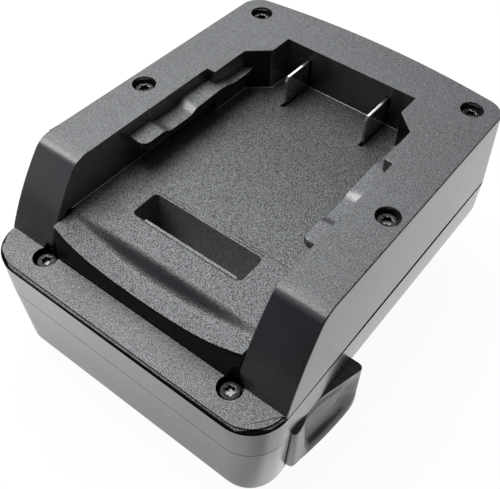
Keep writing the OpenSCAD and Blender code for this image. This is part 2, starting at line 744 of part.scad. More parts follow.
module latch_shape() {
    difference() {
        union() {
            // Wing
            difference() {
                intersection() {
                    wing_side();
                    translate([wing_c[0], wing_c[1], wing_z - cut])
                        cylinder(h = wing_h + 2 * cut, r = wing_face_r, $fn = wide_fn);
                }
                // Thumb scoop behind the front pad
                intersection() {
                    translate([half_w - 0.1 + scoop_r + wing_out_rear - scoop_depth - 1.2, scoop_y, wing_top_z - 3.5])
                        sphere(r = scoop_r, $fn = 160);
                    translate([wing_in_x, wing_y + pad_l, wing_z - cut])
                        cube([wing_reach, wing_l, wing_h + 2 * cut]);
                }
            }
            translate([pivot_x, pivot_y, wing_z]) cylinder(h = barrel_top_z - wing_z, r = barrel_r, $fn = smooth_fn);
            // Arm and hook
            translate([0, 0, arm_z]) linear_extrude(arm_h) polygon([
                [arm_root_x, pivot_y], [wing_in_x + wing_web, pivot_y], [wing_in_x + wing_web, arm_bend_y],
                [arm_out_x, foot_l + wing_web], [arm_out_x, hook_y], [arm_out_x + hook_reach, hook_y],
                [arm_out_x + hook_reach, hook_y + hook_lip], [arm_out_x - wing_web, hook_end_y],
                [arm_in_x, hook_end_y], [arm_in_x, foot_l], [arm_root_x, spring_y + spring_r + 2 * wing_web]]);
            translate([arm_root_x - stud_l, spring_y, spring_z]) rotate([0, 90, 0])
                cylinder(h = stud_l + cut, r = stud_r, $fn = 48);
        }
        translate([pivot_x, pivot_y, wing_z - cut])
            cylinder(h = wing_h + 2 * cut, r = pin_r + pin_clearance, $fn = smooth_fn);
    }
}

module right_latch() {
    color([0.21, 0.21, 0.22]) centred() latch_shape();
}

module left_latch() {
    color([0.21, 0.21, 0.22]) centred() mirror([1, 0, 0]) latch_shape();
}

module pin_shape() {
    translate([pivot_x, pivot_y, pin_foot_z]) cylinder(h = pin_top_z - pin_foot_z, r = pin_r, $fn = smooth_fn);
}

module right_pivot_pin() {
    color([0.75, 0.75, 0.77]) centred() pin_shape();
}

module left_pivot_pin() {
    color([0.75, 0.75, 0.77]) centred() mirror([1, 0, 0]) pin_shape();
}

// Coil between the rib of the lower shell and the latch arm
module spring_shape() {
    steps = 16;
    wire_r = spring_wire / 2;
    coil_r = spring_r - wire_r;
    length = arm_root_x - spring_x - 2 * wire_r - 0.1;
    loft([for (i = [0 : steps * spring_turns])
        let (a = 360 * i / steps, x = spring_x + wire_r + 0.05 + length * i / (steps * spring_turns))
        [for (b = [0 : 60 : 300]) [x + wire_r * sin(b),
            spring_y + (coil_r + wire_r * cos(b)) * cos(a), spring_z + (coil_r + wire_r * cos(b)) * sin(a)]]]);
}

module right_latch_spring() {
    color([0.75, 0.75, 0.77]) centred() spring_shape();
}

module left_latch_spring() {
    color([0.75, 0.75, 0.77]) centred() mirror([1, 0, 0]) spring_shape();
}

// Male blade with a slanted lead-in and a tail for its lead
module blade_shape() {
    top = deck_z + blade_h;
    across(contact_x - blade_t / 2, contact_x + blade_t / 2, [
        [blade_y, carrier_z - 1.5], [tail_y, carrier_z - 1.5], [tail_y, blade_tail_z],
        [tail_y + tail_l, blade_tail_z], [tail_y + tail_l, carrier_z - 1.5],
        [blade_end_y, carrier_z - 1.5], [blade_end_y, top], [blade_y + 1.2, top], [blade_y, top - 1.2]]);
}

module positive_blade() {
    color([0.82, 0.82, 0.8]) centred() blade_shape();
}

module negative_blade() {
    color([0.82, 0.82, 0.8]) centred() mirror([1, 0, 0]) blade_shape();
}

module blade_carrier() {
    color([0.1, 0.1, 0.1]) centred() difference() {
        translate([-carrier_half, blade_y - 1.4, carrier_z])
            cube([2 * carrier_half, blade_end_y - blade_y + 2.6, carrier_t]);
        both_sides() {
            translate([contact_x - blade_t / 2 - 0.05, blade_y - 0.05, carrier_z - cut])
                cube([blade_t + 0.1, blade_end_y - blade_y + 0.1, carrier_t + 2 * cut]);
            translate([blade_screw[0], blade_screw[1], carrier_z + cut])
                cylinder(h = carrier_t, r = small_boss_r + fit, $fn = 48);
            translate([blade_screw[0], blade_screw[1], carrier_z - cut])
                cylinder(h = carrier_t, r = small_r + screw_fit, $fn = 48);
        }
    }
}

// Small screw with its head down at z0, its shank upwards
module small_screw(at, z0, length) {
    translate([at[0], at[1], z0]) cylinder(h = length, r = small_r, $fn = 48);
    translate([at[0], at[1], z0 - small_head_h]) cylinder(h = small_head_h, r = small_r * 1.8, $fn = 48);
}

module blade_carrier_screws() {
    color([0.6, 0.6, 0.62]) centred() both_sides() small_screw(blade_screw, carrier_z, blade_screw_l);
}

// Female clip: a folded sheet with two sprung leaves and a tail for its lead
module clip_shape() {
    g = clip_half;
    t = clip_t;
    leaf = [[g, clip_base_z], [g, 11], [0.35 + t, 6.5], [1.1 + t, 3.2],
        [1.1, 3.2], [0.35, 6.5], [g - t, 11.2], [g - t, clip_base_z - t]];
    translate([contact_x, clip_end_y, 0]) rotate([90, 0, 0]) linear_extrude(clip_l)
        polygon(concat(leaf, [for (i = [len(leaf) - 1 : -1 : 0]) [-leaf[i][0], leaf[i][1]]]));
    translate([contact_x - blade_t / 2, tail_y, clip_base_z - t])
        cube([blade_t, tail_l, lead_low_z + lead_d / 2 + 0.5 - clip_base_z + t]);
}

module positive_clip() {
    color([0.82, 0.62, 0.3]) centred() clip_shape();
}

module negative_clip() {
    color([0.82, 0.62, 0.3]) centred() mirror([1, 0, 0]) clip_shape();
}

module clip_carrier() {
    color([0.1, 0.1, 0.1]) centred() difference() {
        translate([carrier_gap - block_in, clip_y - 2 * carrier_lap, clip_base_z])
            cube([2 * (block_in - carrier_gap), clip_l + 3 * carrier_lap, clip_carrier_t]);
        both_sides() {
            translate([contact_x - blade_t / 2 - 0.05, tail_y - 0.05, clip_base_z - cut])
                cube([blade_t + 0.1, tail_l + 0.1, clip_carrier_t + 2 * cut]);
            translate([clip_screw[0], clip_screw[1], clip_base_z - cut])
                cylinder(h = clip_carrier_t + 2 * cut, r = small_r + screw_fit, $fn = 48);
        }
    }
}

module clip_carrier_screws() {
    color([0.6, 0.6, 0.62]) centred() both_sides()
        translate([clip_screw[0], clip_screw[1], clip_base_z + clip_carrier_t])
            rotate([180, 0, 0]) small_screw([0, 0], 0, clip_screw_l);
}

// Lead bent in a U from the blade's tail down to the clip's tail
module lead_shape() {
    r = lead_d / 2;
    y = tail_y - lead_straight;
    for (z = [lead_top_z, lead_low_z])
        translate([contact_x, tail_y, z]) rotate([90, 0, 0]) cylinder(h = lead_straight, r = r, $fn = 48);
    translate([contact_x, y, lead_top_z - lead_bend]) rotate([0, -90, 0]) rotate([0, 0, 180])
        rotate_extrude(angle = 180, $fn = 96) translate([lead_bend, 0]) circle(r = r, $fn = 48);
}

module positive_lead() {
    color([0.7, 0.1, 0.08]) centred() lead_shape();
}

module negative_lead() {
    color([0.06, 0.06, 0.06]) centred() mirror([1, 0, 0]) lead_shape();
}

// Pan head screw with a six-lobe socket, its head's top face at z
module casing_screw(at, z, length) {
    translate([at[0], at[1], z - head_h]) difference() {
        union() {
            cylinder(h = head_h, r = head_d / 2, $fn = smooth_fn);
            translate([0, 0, -length]) cylinder(h = length, r = screw_r, $fn = 48);
        }
        translate([0, 0, head_h - socket_depth]) {
            cylinder(h = socket_depth + cut, r = head_d * 0.2, $fn = 48);
            for (a = [0 : 60 : 300])
                rotate(a) translate([head_d * 0.2, 0, 0])
                    cylinder(h = socket_depth + cut, r = head_d * 0.065, $fn = 24);
        }
    }
}

module rim_screws() {
    color([0.12, 0.12, 0.12]) centred() both_sides() {
        casing_screw(rear_screw, rim_z - head_sink, rim_screw_l);
        casing_screw(mid_screw, rim_z - head_sink, rim_screw_l);
    }
}

module front_screws() {
    color([0.12, 0.12, 0.12]) centred() both_sides()
        casing_screw(front_screw, ledge_z - head_sink, front_screw_l);
}

top_cover();
deck();
middle_shell();
lower_shell();
right_latch();
left_latch();
right_pivot_pin();
left_pivot_pin();
right_latch_spring();
left_latch_spring();
positive_blade();
negative_blade();
blade_carrier();
blade_carrier_screws();
positive_clip();
negative_clip();
clip_carrier();
clip_carrier_screws();
positive_lead();
negative_lead();
rim_screws();
front_screws();
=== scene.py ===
"""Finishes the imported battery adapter: mouldings, seat rails, latches, screws, contacts and a studio.

Lengths in the piece functions are millimetres in the drawing's own axes: x across the casing, y back from
the front edge, z up from the floor. place() turns them into metres in the frame. Screws and spring coils
are first made in metres around an axis of their own.
"""

from contextlib import contextmanager
from math import atan2, cos, degrees, hypot, radians, sin, sqrt, tan, tau

import bmesh
import bpy
from mathutils import Matrix, Vector
from mathutils.bvhtree import BVHTree


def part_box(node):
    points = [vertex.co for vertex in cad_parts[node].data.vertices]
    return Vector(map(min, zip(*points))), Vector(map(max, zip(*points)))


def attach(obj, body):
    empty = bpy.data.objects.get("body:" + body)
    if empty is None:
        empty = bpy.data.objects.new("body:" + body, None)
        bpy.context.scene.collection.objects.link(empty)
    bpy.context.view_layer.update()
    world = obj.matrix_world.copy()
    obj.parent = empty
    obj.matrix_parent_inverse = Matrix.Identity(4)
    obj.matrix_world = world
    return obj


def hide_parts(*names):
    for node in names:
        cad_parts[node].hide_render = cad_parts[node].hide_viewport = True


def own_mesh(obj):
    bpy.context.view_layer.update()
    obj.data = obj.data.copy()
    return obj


bl_info = {
    "name": "Battery adapter finish",
    "version": (1, 0, 0),
    "blender": (4, 5, 0),
    "location": "3D View > Sidebar > Adapter",
    "description": "Builds the visible pieces of a slide-on battery adapter around its packed model",
    "category": "Object",
}

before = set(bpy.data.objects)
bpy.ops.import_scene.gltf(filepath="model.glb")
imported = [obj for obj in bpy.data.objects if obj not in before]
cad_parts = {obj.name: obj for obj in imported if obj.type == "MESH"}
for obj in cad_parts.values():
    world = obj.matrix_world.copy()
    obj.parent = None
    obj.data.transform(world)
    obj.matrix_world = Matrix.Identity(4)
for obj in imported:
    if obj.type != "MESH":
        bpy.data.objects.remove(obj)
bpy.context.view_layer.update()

MM = 0.001
CASING = "casing"
COVER_LOW, COVER_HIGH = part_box("top_cover")
FRONT = COVER_LOW.y
HALF_WIDTH = COVER_HIGH.x / MM
LENGTH = (COVER_HIGH.y - FRONT) / MM

# Heights: the rim, the ledge, the lip under it, and just inside the band's two edges.
RIM = COVER_HIGH.z / MM
LEDGE, LIP, BAND_HIGH, BAND_LOW = 33.7, 33.0, 32.07, 21.8

# Places from the front edge: the end of the front's seam, and the top of the arms' slopes.
FRONT_END, SLOPE_TOP = 14, 23.3

# Half of the deck's width, the casing's corner radius, the rear's bow and the seam's widest gape.
DECK_HALF, CORNER, REAR_BOW, SEAM_GAPE = 29.55, 10.2, 4.1, 0.95

# Edges that turn by less, in degrees, run on into one another.
RUNS_ON = 30

# Pale for dust specks and for the painted highlights and painted light on the deck.
PALE_DUST_AND_LIGHT = (0.5, 0.5, 0.49, 1.0)
# Black for painted shade in seams, gaps and under overhangs.
PAINTED_SHADE_BLACK = (0.004, 0.004, 0.004, 1.0)


# Sizes and finishes

def length(name, description, millimetres, **more):
    """A length property, given in millimetres and kept in metres."""
    return bpy.props.FloatProperty(
        name=name, description=description, default=millimetres * MM, unit="LENGTH", precision=5, **more)


def colour(name, description, value):
    return bpy.props.FloatVectorProperty(
        name=name, description=description, default=value, subtype="COLOR", size=3, min=0, max=1)


def share(name, description, value):
    return bpy.props.FloatProperty(
        name=name, description=description, default=value, subtype="FACTOR", min=0, max=1)


def watts(name, description, value):
    return bpy.props.FloatProperty(name=name, description=description, default=value, min=0, unit="POWER")


class CasingSizes(bpy.types.PropertyGroup):
    arm_top_round: length("Arm top rounding", "Radius of the turn from the rim down into the slopes", 7.5)
    rim_round: length("Rim rounding", "Radius of the outer edge of the rim, the arms and the ledge", 0.42)
    well_round: length("Well rounding", "Radius of the edges around the battery well", 0.3)
    corner_round: length("Corner rounding", "Radius of the well's upright corners", 0.6)
    base_round: length("Base rounding", "Radius of the casing's lower edge", 1.0)
    fine_round: length("Fine rounding", "Radius of every other moulded edge", 0.16)
    rail_inner: length("Rail gap, half", "Half of the gap between the two seat rails", 24.22)
    rail_under: length("Rail underside", "Height of the seat rails' underside", 49.1)
    rail_round: length("Rail rounding", "Radius of the seat rails' inner edges", 0.42)


class DeckSizes(bpy.types.PropertyGroup):
    height: length("Deck height", "Height of the flat deck above the floor", 42.7)
    thickness: length("Deck thickness", "Thickness of the deck", 2.4)
    fall: length("Fall", "Fall of the deck ahead of the step", 0.4)
    fall_at: length("Fall line", "Distance from the front edge to where the fall starts", 36.8)
    side_drop: length("Shelf drop, sides", "Depth of the shelf under the deck at the sides", 1.1)
    middle_drop: length("Shelf drop, middle", "Depth of the shelf under the deck in the middle", 4.2)
    pocket_width: length("Pocket width", "Width of the catch pocket", 34.5)
    pocket_length: length("Pocket length", "Length of the catch pocket", 8.5)
    pocket_at: length("Pocket place", "Distance from the front edge to the catch pocket", 26.8)
    pocket_depth: length("Pocket depth", "Depth of the catch pocket", 14)


class LatchSizes(bpy.types.PropertyGroup):
    dish: length("Thumb dish", "Depth of the dish in a latch wing", 2.1)
    edge_round: length("Wing rounding", "Radius of a latch wing's edges", 0.35)


class ScrewSizes(bpy.types.PropertyGroup):
    head: length("Head diameter", "Diameter of the casing screws' heads", 5.3)
    head_height: length("Head height", "Height of the casing screws' heads", 2.2)
    shank: length("Shank diameter", "Diameter of the casing screws", 3.0)
    socket: length("Socket diameter", "Diameter over the lobes of the six-lobe socket", 3.0)
    socket_depth: length("Socket depth", "Depth of the socket", 1.3)


class PlasticFinish(bpy.types.PropertyGroup):
    base: colour("Plastic", "Colour of the moulded plastic", (0.0145, 0.015, 0.0175))
    # The bright specks are painted glints off the grain.
    speck: colour("Speck", "Colour of the grain's bright specks", (0.2, 0.204, 0.212))
    grain_size: length("Grain size", "Size of the grain on the upward faces", 0.28)
    grain_depth: length("Grain depth", "Depth of that grain", 0.06)
    satin: share("Satin roughness", "Roughness of the smooth walls", 0.24)
    matte: share("Grain roughness", "Roughness of the grained faces", 0.46)


class StudioLight(bpy.types.PropertyGroup):
    floor: colour("Floor", "Colour of the floor", (0.9, 0.9, 0.9))
    key_colour: colour("Key colour", "Colour of the large soft light", (0.965, 0.99, 1.0))
    key: watts("Key light", "Power of the large soft light", 6.6)
    top: watts("Top light", "Power of the overhead panel", 9.4)
    ambient: share("Ambient light", "Strength of the soft light from above", 0.4)


# Shader nodes

class Value:
    """A shader socket whose sums and products add Math nodes."""

    def __init__(self, net, socket):
        self.net = net
        self.socket = socket

    def _math(self, operation, *terms, clamp=False):
        return self.net.node("Math", dict(enumerate(terms)), operation=operation, use_clamp=clamp)["Value"]

    def __add__(self, other):
        return self._math("ADD", self, other)

    def __mul__(self, other):
        return self._math("MULTIPLY", self, other)

    __radd__, __rmul__ = __add__, __mul__

    def __rsub__(self, other):
        return self._math("SUBTRACT", other, self)

    def clamped(self):
        return self._math("ADD", self, 0.0, clamp=True)

    def power(self, exponent):
        return self._math("POWER", self, exponent)

    def ramp(self, low, high, out_low=0.0, out_high=1.0):
        """Eases from out_low to out_high as the value goes from low to high."""
        return self.net.node("MapRange", {
            "Value": self, "From Min": low, "From Max": high, "To Min": out_low, "To Max": out_high},
            interpolation_type="SMOOTHSTEP")["Result"]


class Outputs:
    """The output sockets of one node, as Values, by index, identifier or name."""

    def __init__(self, net, node):
        self.net = net
        self.node = node

    def __getitem__(self, key):
        return Value(self.net, find_socket(self.node.outputs, key))


def find_socket(sockets, key):
    """One of a node's sockets by its identifier, or else by its index or name."""
    return next((s for s in sockets if s.identifier == key), None) or sockets[key]


class Net:
    """The node tree of one material, or of the world."""

    def __init__(self, tree):
        self.tree = tree
        self.tree.nodes.clear()

    def node(self, kind, sockets=None, **settings):
        """Adds a shader node, makes its settings, then gives its sockets their values or links."""
        made = self.tree.nodes.new("ShaderNode" + kind)
        for name, value in settings.items():
            setattr(made, name, value)
        for key, value in (sockets or {}).items():
            target = find_socket(made.inputs, key)
            if isinstance(value, Value):
                self.tree.links.new(value.socket, target)
            else:
                target.default_value = value
        return Outputs(self, made)

    def place(self):
        return self.node("TexCoord")["Object"]

    def split(self, vector):
        return self.node("SeparateXYZ", {"Vector": vector})

    def mapped(self, at, **changes):
        """A place that is scaled or turned."""
        return self.node("Mapping", {"Vector": at, **changes})["Vector"]

    def mark(self, name):
        """A number painted on the mesh's faces or on their corners."""
        return self.node("Attribute", attribute_name=name)["Fac"]

    def noise(self, at, size, detail=2.0, roughness=0.5):
        """Cloudy noise from 0 to 1, with features of the given size in metres."""
        return self.node("TexNoise", {
            "Vector": at, "Scale": 1 / size, "Detail": detail, "Roughness": roughness})["Fac"]

    def grains(self, at, size):
        """Distance to the nearest of many scattered points, in cells of the given size in metres."""
        return self.node("TexVoronoi", {"Vector": at, "Scale": 1 / size}, feature="F1")["Distance"]

    def blend(self, factor, a, b):
        """A colour between a and b."""
        sockets = {"Factor_Float": factor, "A_Color": a, "B_Color": b}
        return self.node("Mix", sockets, data_type="RGBA")["Result_Color"]

    def bump(self, height, distance):
        """A normal bent by a height from 0 to 1, where 1 stands distance metres proud."""
        return self.node("Bump", {"Height": height, "Distance": distance, "Strength": 1.0})["Normal"]

    def toward(self, direction):
        """How nearly a direction of the world is the given one: their product."""
        sockets = {0: self.node("TexCoord")["Generated"], 1: direction}
        return self.node("VectorMath", sockets, operation="DOT_PRODUCT")["Value"]

    def principled(self, base, roughness, normal, **more):
        """The main shader; in the names of further sockets an underscore stands for a space."""
        sockets = {name.replace("_", " "): value for name, value in more.items()}
        sockets.update({"Base Color": base, "Roughness": roughness, "Normal": normal})
        return self.node("BsdfPrincipled", sockets)["BSDF"]

    def diffuse(self, tone):
        return self.node("BsdfDiffuse", {"Color": tone})["BSDF"]

    def mix(self, factor, a, b):
        return self.node("MixShader", {0: factor, 1: a, 2: b})["Shader"]

    def surface(self, shader):
        self.node("OutputMaterial", {"Surface": shader})


def new_material(name):
    material = bpy.data.materials.new(name)
    material.use_nodes = True
    return material, Net(material.node_tree)


def rgba(tone, factor=1.0):
    return tuple(c * factor for c in tone) + (1.0,)


# Materials

def moulded_plastic(name, finish, tone=1.0, grain=1.0, gloss=0.95, rough=1.0, rear=0.0):
    """Black moulded plastic: grained where the mesh is painted so, satin elsewhere, with painted shade in
    the seams.

    tone scales the base colour, grain the painted grain, gloss the coat on the satin walls and rough the
    contrast of the grain's painted glints and the painted shade in its pits, which is less on the rim. rear
    is how far painted shade darkens the grain towards the casing's rear.
    """
    material, net = new_material(name)
    at = net.place()
    grained = net.mark("grain") * grain
    size = finish.grain_size
    texture = net.grains(at, size).ramp(0.1, 0.75) * 0.5 + net.noise(at, size * 0.7, 2.0, 0.6) * 0.5
    fine = net.noise(at, 0.00016, 1.0)
    height = grained * texture * (finish.grain_depth / MM) + (1 - grained) * fine * 0.004
    normal = net.bump(height, MM)
    patchy = net.noise(at, 0.007, 3.0).ramp(0.3, 0.7, -0.02, 0.02)
    roughness = grained * (finish.matte - finish.satin) + patchy + finish.satin + fine * 0.03
    flow = net.noise(at, 0.021, 3.0).ramp(0.3, 0.7, 0.0, 0.3)
    base = net.blend(flow, rgba(finish.base, tone), rgba(finish.base, tone * 3.2))
    # Turned, so that the flat faces don't lie where the noise is even.
    crumb = net.noise(net.mapped(at, Rotation=(0.6, 0.4, 0.2)), size * 0.6, 0.0)
    parts = net.split(at)
    crisp = rough * parts["Z"].ramp(0.05, 0.055, 1.0, 0.6)
    # Painted glints: bright specks in the base colour of the grain.
    base = net.blend((grained * crumb.ramp(0.5, 0.68) * crisp).clamped(), base, rgba(finish.speck))
    specks = net.grains(at, 0.0046).ramp(0.016, 0.03, 1.0, 0.0) * net.noise(at, 0.012, 1.0).ramp(0.56, 0.64)
    # Dust specks, and pale painted light where the mesh marks it.
    dust = (specks * 0.5 + net.mark("dust") * crumb.ramp(0.35, 0.62, 0.3, 1.0)).clamped()
    base = net.blend(dust, base, PALE_DUST_AND_LIGHT)
    shader = net.principled(
        base, roughness, normal, Specular_IOR_Level=1.0, Coat_Weight=(1 - grained) * gloss,
        Coat_Roughness=0.22, Coat_IOR=1.68)
    # Painted shade: the grain grows darker towards the casing's rear.
    tarnish_and_rear_shade = grained * parts["Y"].ramp(-0.035, 0.03, 0.1 * rear, rear)
    # Painted shade: black mixed in where the mesh marks it, in the grain's pits and towards the rear.
    painted_shade_share = (net.mark("seam") + grained * crumb.ramp(0.34, 0.5, 0.45, 0.0) * crisp + tarnish_and_rear_shade).clamped()
    net.surface(net.mix(painted_shade_share, shader, net.diffuse(PAINTED_SHADE_BLACK)))
    return material


def metal(name, tone, roughness, streak, grain_axis=(1.0, 1.0, 1.0), tarnish_and_rear_shade=0.0):
    """Plated or bare metal with fine streaks and tarnish."""
    material, net = new_material(name)
    at = net.place()
    lines = net.noise(net.mapped(at, Scale=grain_axis), streak, 3.0, 0.65)
    stain = net.noise(at, 0.0023, 4.0, 0.6)
    rough = lines.ramp(0.25, 0.75, roughness - 0.06, roughness + 0.08) + stain.ramp(0.45, 0.75) * 0.08
    base = net.blend((stain.ramp(0.48, 0.7) * tarnish_and_rear_shade).clamped(), rgba(tone), rgba(tone, 0.45))
    net.surface(net.principled(base, rough, net.bump(lines, 0.000006), Metallic=1.0))
    return material


def blackened_steel(name):
    """Screw steel under a thin black finish, bare where the mesh marks it: rubbed through on its edges, and
    as a painted glint on the socket's floor.
    """
    material, net = new_material(name)
    at = net.place()
    speck = net.noise(at, 0.0005, 3.0)
    rubbed_and_glint = (net.mark("edge").ramp(0.0, 1.0) * speck.ramp(0.25, 0.5)).clamped()
    base = net.blend(rubbed_and_glint, (0.012, 0.012, 0.013, 1), (0.42, 0.41, 0.4, 1))
    normal = net.bump(net.noise(at, 0.00012, 2.0), 0.000004)
    net.surface(net.principled(base, speck.ramp(0.3, 0.7, 0.24, 0.4), normal, Metallic=0.85))
    return material


def lead_insulation(name, tone):
    """Soft extruded insulation with a faintly uneven skin."""
    material, net = new_material(name)
    at = net.place()
    skin = net.noise(at, 0.0006, 2.0)
    base = net.blend(net.noise(at, 0.004, 2.0).ramp(0.3, 0.7), rgba(tone), rgba(tone, 0.7))
    net.surface(net.principled(base, skin.ramp(0.2, 0.8, 0.42, 0.58), net.bump(skin, 0.00002)))
    return material


# Mesh tools

def place(x, y, z):
    """A point of the drawing, in the frame."""
    return Vector((x * MM, FRONT + y * MM, z * MM))


def drawn(point):
    """A point of the frame, in the drawing's millimetres."""
    return Vector((point.x / MM, (point.y - FRONT) / MM, point.z / MM))


def shown(name, data):
    """An object at the origin that shows a mesh, a light or a camera."""
    made = bpy.data.objects.new(name, data)
    bpy.context.scene.collection.objects.link(made)
    return made


def new_object(name, bm):
    """An object at the origin from a bmesh, which is used up."""
    mesh = bpy.data.meshes.new(name)
    bm.to_mesh(mesh)
    bm.free()
    return shown(name, mesh)


@contextmanager
def editing(piece):
    """A piece's mesh as a bmesh, which is written back at the end."""
    bm = bmesh.new()
    bm.from_mesh(piece.data)
    yield bm
    bm.to_mesh(piece.data)
    bm.free()


def bake_modifiers(piece):
    """Works an object's modifiers into a plain mesh."""
    bpy.context.view_layer.update()
    evaluated = piece.evaluated_get(bpy.context.evaluated_depsgraph_get())
    mesh = bpy.data.meshes.new_from_object(evaluated)
    piece.modifiers.clear()
    piece.data = mesh
    mesh.name = piece.name


def clean(bm, reach):
    """Merges points closer than reach, in mm, and joins flat faces."""
    bmesh.ops.remove_doubles(bm, verts=bm.verts, dist=reach * MM)
    bmesh.ops.dissolve_limit(bm, angle_limit=radians(0.4), verts=bm.verts, edges=bm.edges)


def clean_piece(piece, reach):
    with editing(piece) as bm:
        clean(bm, reach)


def merged_copy(name, node, reach=0.001):
    """An object from a CAD node, with points closer than reach, in mm, merged and its flat faces joined."""
    bm = bmesh.new()
    bm.from_mesh(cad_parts[node].data)
    clean(bm, reach)
    for layer in list(bm.loops.layers.uv.values()):
        bm.loops.layers.uv.remove(layer)
    return new_object(name, bm)


def combine(piece, other, operation):
    """Adds another solid to a piece or takes it away, and removes the other."""
    modifier = piece.modifiers.new("combine", "BOOLEAN")
    modifier.operation = operation
    modifier.solver = "EXACT"
    modifier.object = other
    bake_modifiers(piece)
    bpy.data.objects.remove(other)


def solid(name, rings, metres=place):
    """A closed solid from rings of points, joined in order and capped; metres turns a point into metres."""
    bm = bmesh.new()
    rings = [[bm.verts.new(metres(*point)) for point in ring] for ring in rings]
    count = len(rings[0])
    for a, b in zip(rings, rings[1:]):
        for i in range(count):
            j = (i + 1) % count
            bm.faces.new((a[i], a[j], b[j], b[i]))
    bm.faces.new(reversed(rings[0]))
    bm.faces.new(rings[-1])
    if bm.calc_volume(signed=True) < 0:
        bmesh.ops.reverse_faces(bm, faces=bm.faces)
    return new_object(name, bm)


def prism(outline, low, high):
    """A solid between two heights from an outline in the drawing's x and y."""
    return solid("prism", [[(x, y, z) for x, y in outline] for z in (low, high)])


def cut(piece, outline, low, high):
    combine(piece, prism(outline, low, high), "DIFFERENCE")


def add(piece, outline, low, high):
    combine(piece, prism(outline, low, high), "UNION")


def oblong(x0, x1, y0, y1):
    return [(x0, y0), (x1, y0), (x1, y1), (x0, y1)]


def arc(start, turn, steps, first=0, last=None):
    """Cosine and sine at even steps of a turn, in degrees, from the first step to the last."""
    stop = steps if last is None else last
    angles = [radians(start + turn * i / steps) for i in range(first, stop + 1)]
    return [(cos(a), sin(a)) for a in angles]


def directions(*elevations):
    """Unit vectors all round at each elevation, in degrees."""
    return [Vector((c * cos(radians(e)), s * cos(radians(e)), sin(radians(e))))
            for e in elevations for c, s in arc(0, 360, 12, last=11)]


def away(vertex, edge):
    """The way along an edge from one of its ends."""
    return edge.other_vert(vertex).co - vertex.co


def turn_at(vertex, edge, other):
    """The angle between two edges where they meet, in degrees."""
    return degrees(away(vertex, edge).angle(away(vertex, other), 0.0))


def room_for(edge, radius):
    """A radius cut down to what the edges that meet this one at a corner leave room for."""
    for vertex in edge.verts:
        for other in vertex.link_edges:
            turn = turn_at(vertex, edge, other)
            if other is not edge and turn < 180 - RUNS_ON:
                radius = min(radius, (0.08 if turn < RUNS_ON else 0.42) * away(vertex, other).length)
    return radius


def chains(edges):
    """Groups of edges that run on into one another without a corner."""
    left, groups = set(edges), []
    while left:
        todo, group = [left.pop()], []
        while todo:
            edge = todo.pop()
            group.append(edge)
            for vertex in edge.verts:
                for other in vertex.link_edges:
                    if other in left and turn_at(vertex, edge, other) > 180 - RUNS_ON:
                        left.remove(other)
                        todo.append(other)
        groups.append(group)
    return groups


def soften(piece, radius_of, segments=3, sharpest=22, open_to=None):
    """Rounds the sharp outward edges of a piece by what radius_of gives for them, in metres.

    Edges that run on into one another get one radius, so that no rounding ends part way. Where open_to
    gives directions, such a run stays sharp unless most of it lies open towards at least one of them.
    """
    with editing(piece) as bm:
        tree = BVHTree.FromBMesh(bm)
        layer = bm.edges.layers.float.new("bevel_weight_edge")
        angles = {e: degrees(e.calc_face_angle(0)) for e in bm.edges if e.is_manifold and e.is_convex}
        radii = {}
        for group in chains([e for e, angle in angles.items() if angle > 0.6 * sharpest]):
            if max(angles[e] for e in group) < sharpest:
                continue
            reached, wanted = 0.0, []
            for edge in group:
                middle = (edge.verts[0].co + edge.verts[1].co) / 2
                start = middle + sum((f.normal for f in edge.link_faces), Vector()) * 0.03 * MM
                if not open_to or any(tree.ray_cast(start, d)[0] is None for d in open_to):
                    reached += edge.calc_length()
                wanted.append(room_for(edge, radius_of(drawn(middle), edge)))
            if reached > 0.5 * sum(e.calc_length() for e in group):
                for edge in group:
                    radii[edge] = sorted(wanted)[len(wanted) // 2]
        widest = max(radii.values(), default=0) or MM
        for edge, radius in radii.items():
            edge[layer] = radius / widest
    modifier = piece.modifiers.new("round", "BEVEL")
    modifier.limit_method = "WEIGHT"
    modifier.width = widest
    modifier.segments = segments
    modifier.use_clamp_overlap = False
    bake_modifiers(piece)


def shade(piece, sharpest=38):
    """Smooth shading that keeps flat faces flat and breaks at sharp edges."""
    with editing(piece) as bm:
        for face in bm.faces:
            face.smooth = True
        for edge in bm.edges:
            edge.smooth = not edge.is_manifold or edge.calc_face_angle(0) < radians(sharpest)
    piece.modifiers.new("normals", "WEIGHTED_NORMAL").keep_sharp = True
    bake_modifiers(piece)


def paint(piece, name, rule, units=drawn):
    """Stores a number on each face by rule(middle, normal), with the middle in the given units."""
    values = [rule(units(p.center), p.normal) for p in piece.data.polygons]
    piece.data.attributes.new(name, "FLOAT", "FACE").data.foreach_set("value", values)


def eased(value, low, high):
    """Eases from 0 to 1 as the value goes from low to high."""
    t = min(1.0, max(0.0, (value - low) / (high - low)))
    return t * t * (3 - 2 * t)


def upward(middle, normal):
    """Grain on faces that look up, none on walls and slopes."""
    return eased(normal.z, 0.82, 0.97)


def inset(point):
    """How far a point of the drawing lies inside the casing's outline."""
    x, y = abs(point.x), point.y
    if x > HALF_WIDTH - CORNER and y < CORNER:
        return CORNER - hypot(x - HALF_WIDTH + CORNER, y - CORNER)
    return min(HALF_WIDTH - x, y, LENGTH - REAR_BOW * (x / HALF_WIDTH) ** 2 - y)


def paint_shade_marks(piece, rule):
    """Paints how much painted shade each face's corners carry, from 0 to 1, by rule(middle, normal,
    corner).
    """
    mesh = piece.data
    values = []
    for p in mesh.polygons:
        middle = drawn(p.center)
        values += [rule(middle, p.normal, drawn(mesh.vertices[i].co)) for i in p.vertices]
    mesh.attributes.new("seam", "FLOAT", "CORNER").data.foreach_set("value", values)


def coat(piece, material):
    piece.data.materials.clear()
    piece.data.materials.append(material)


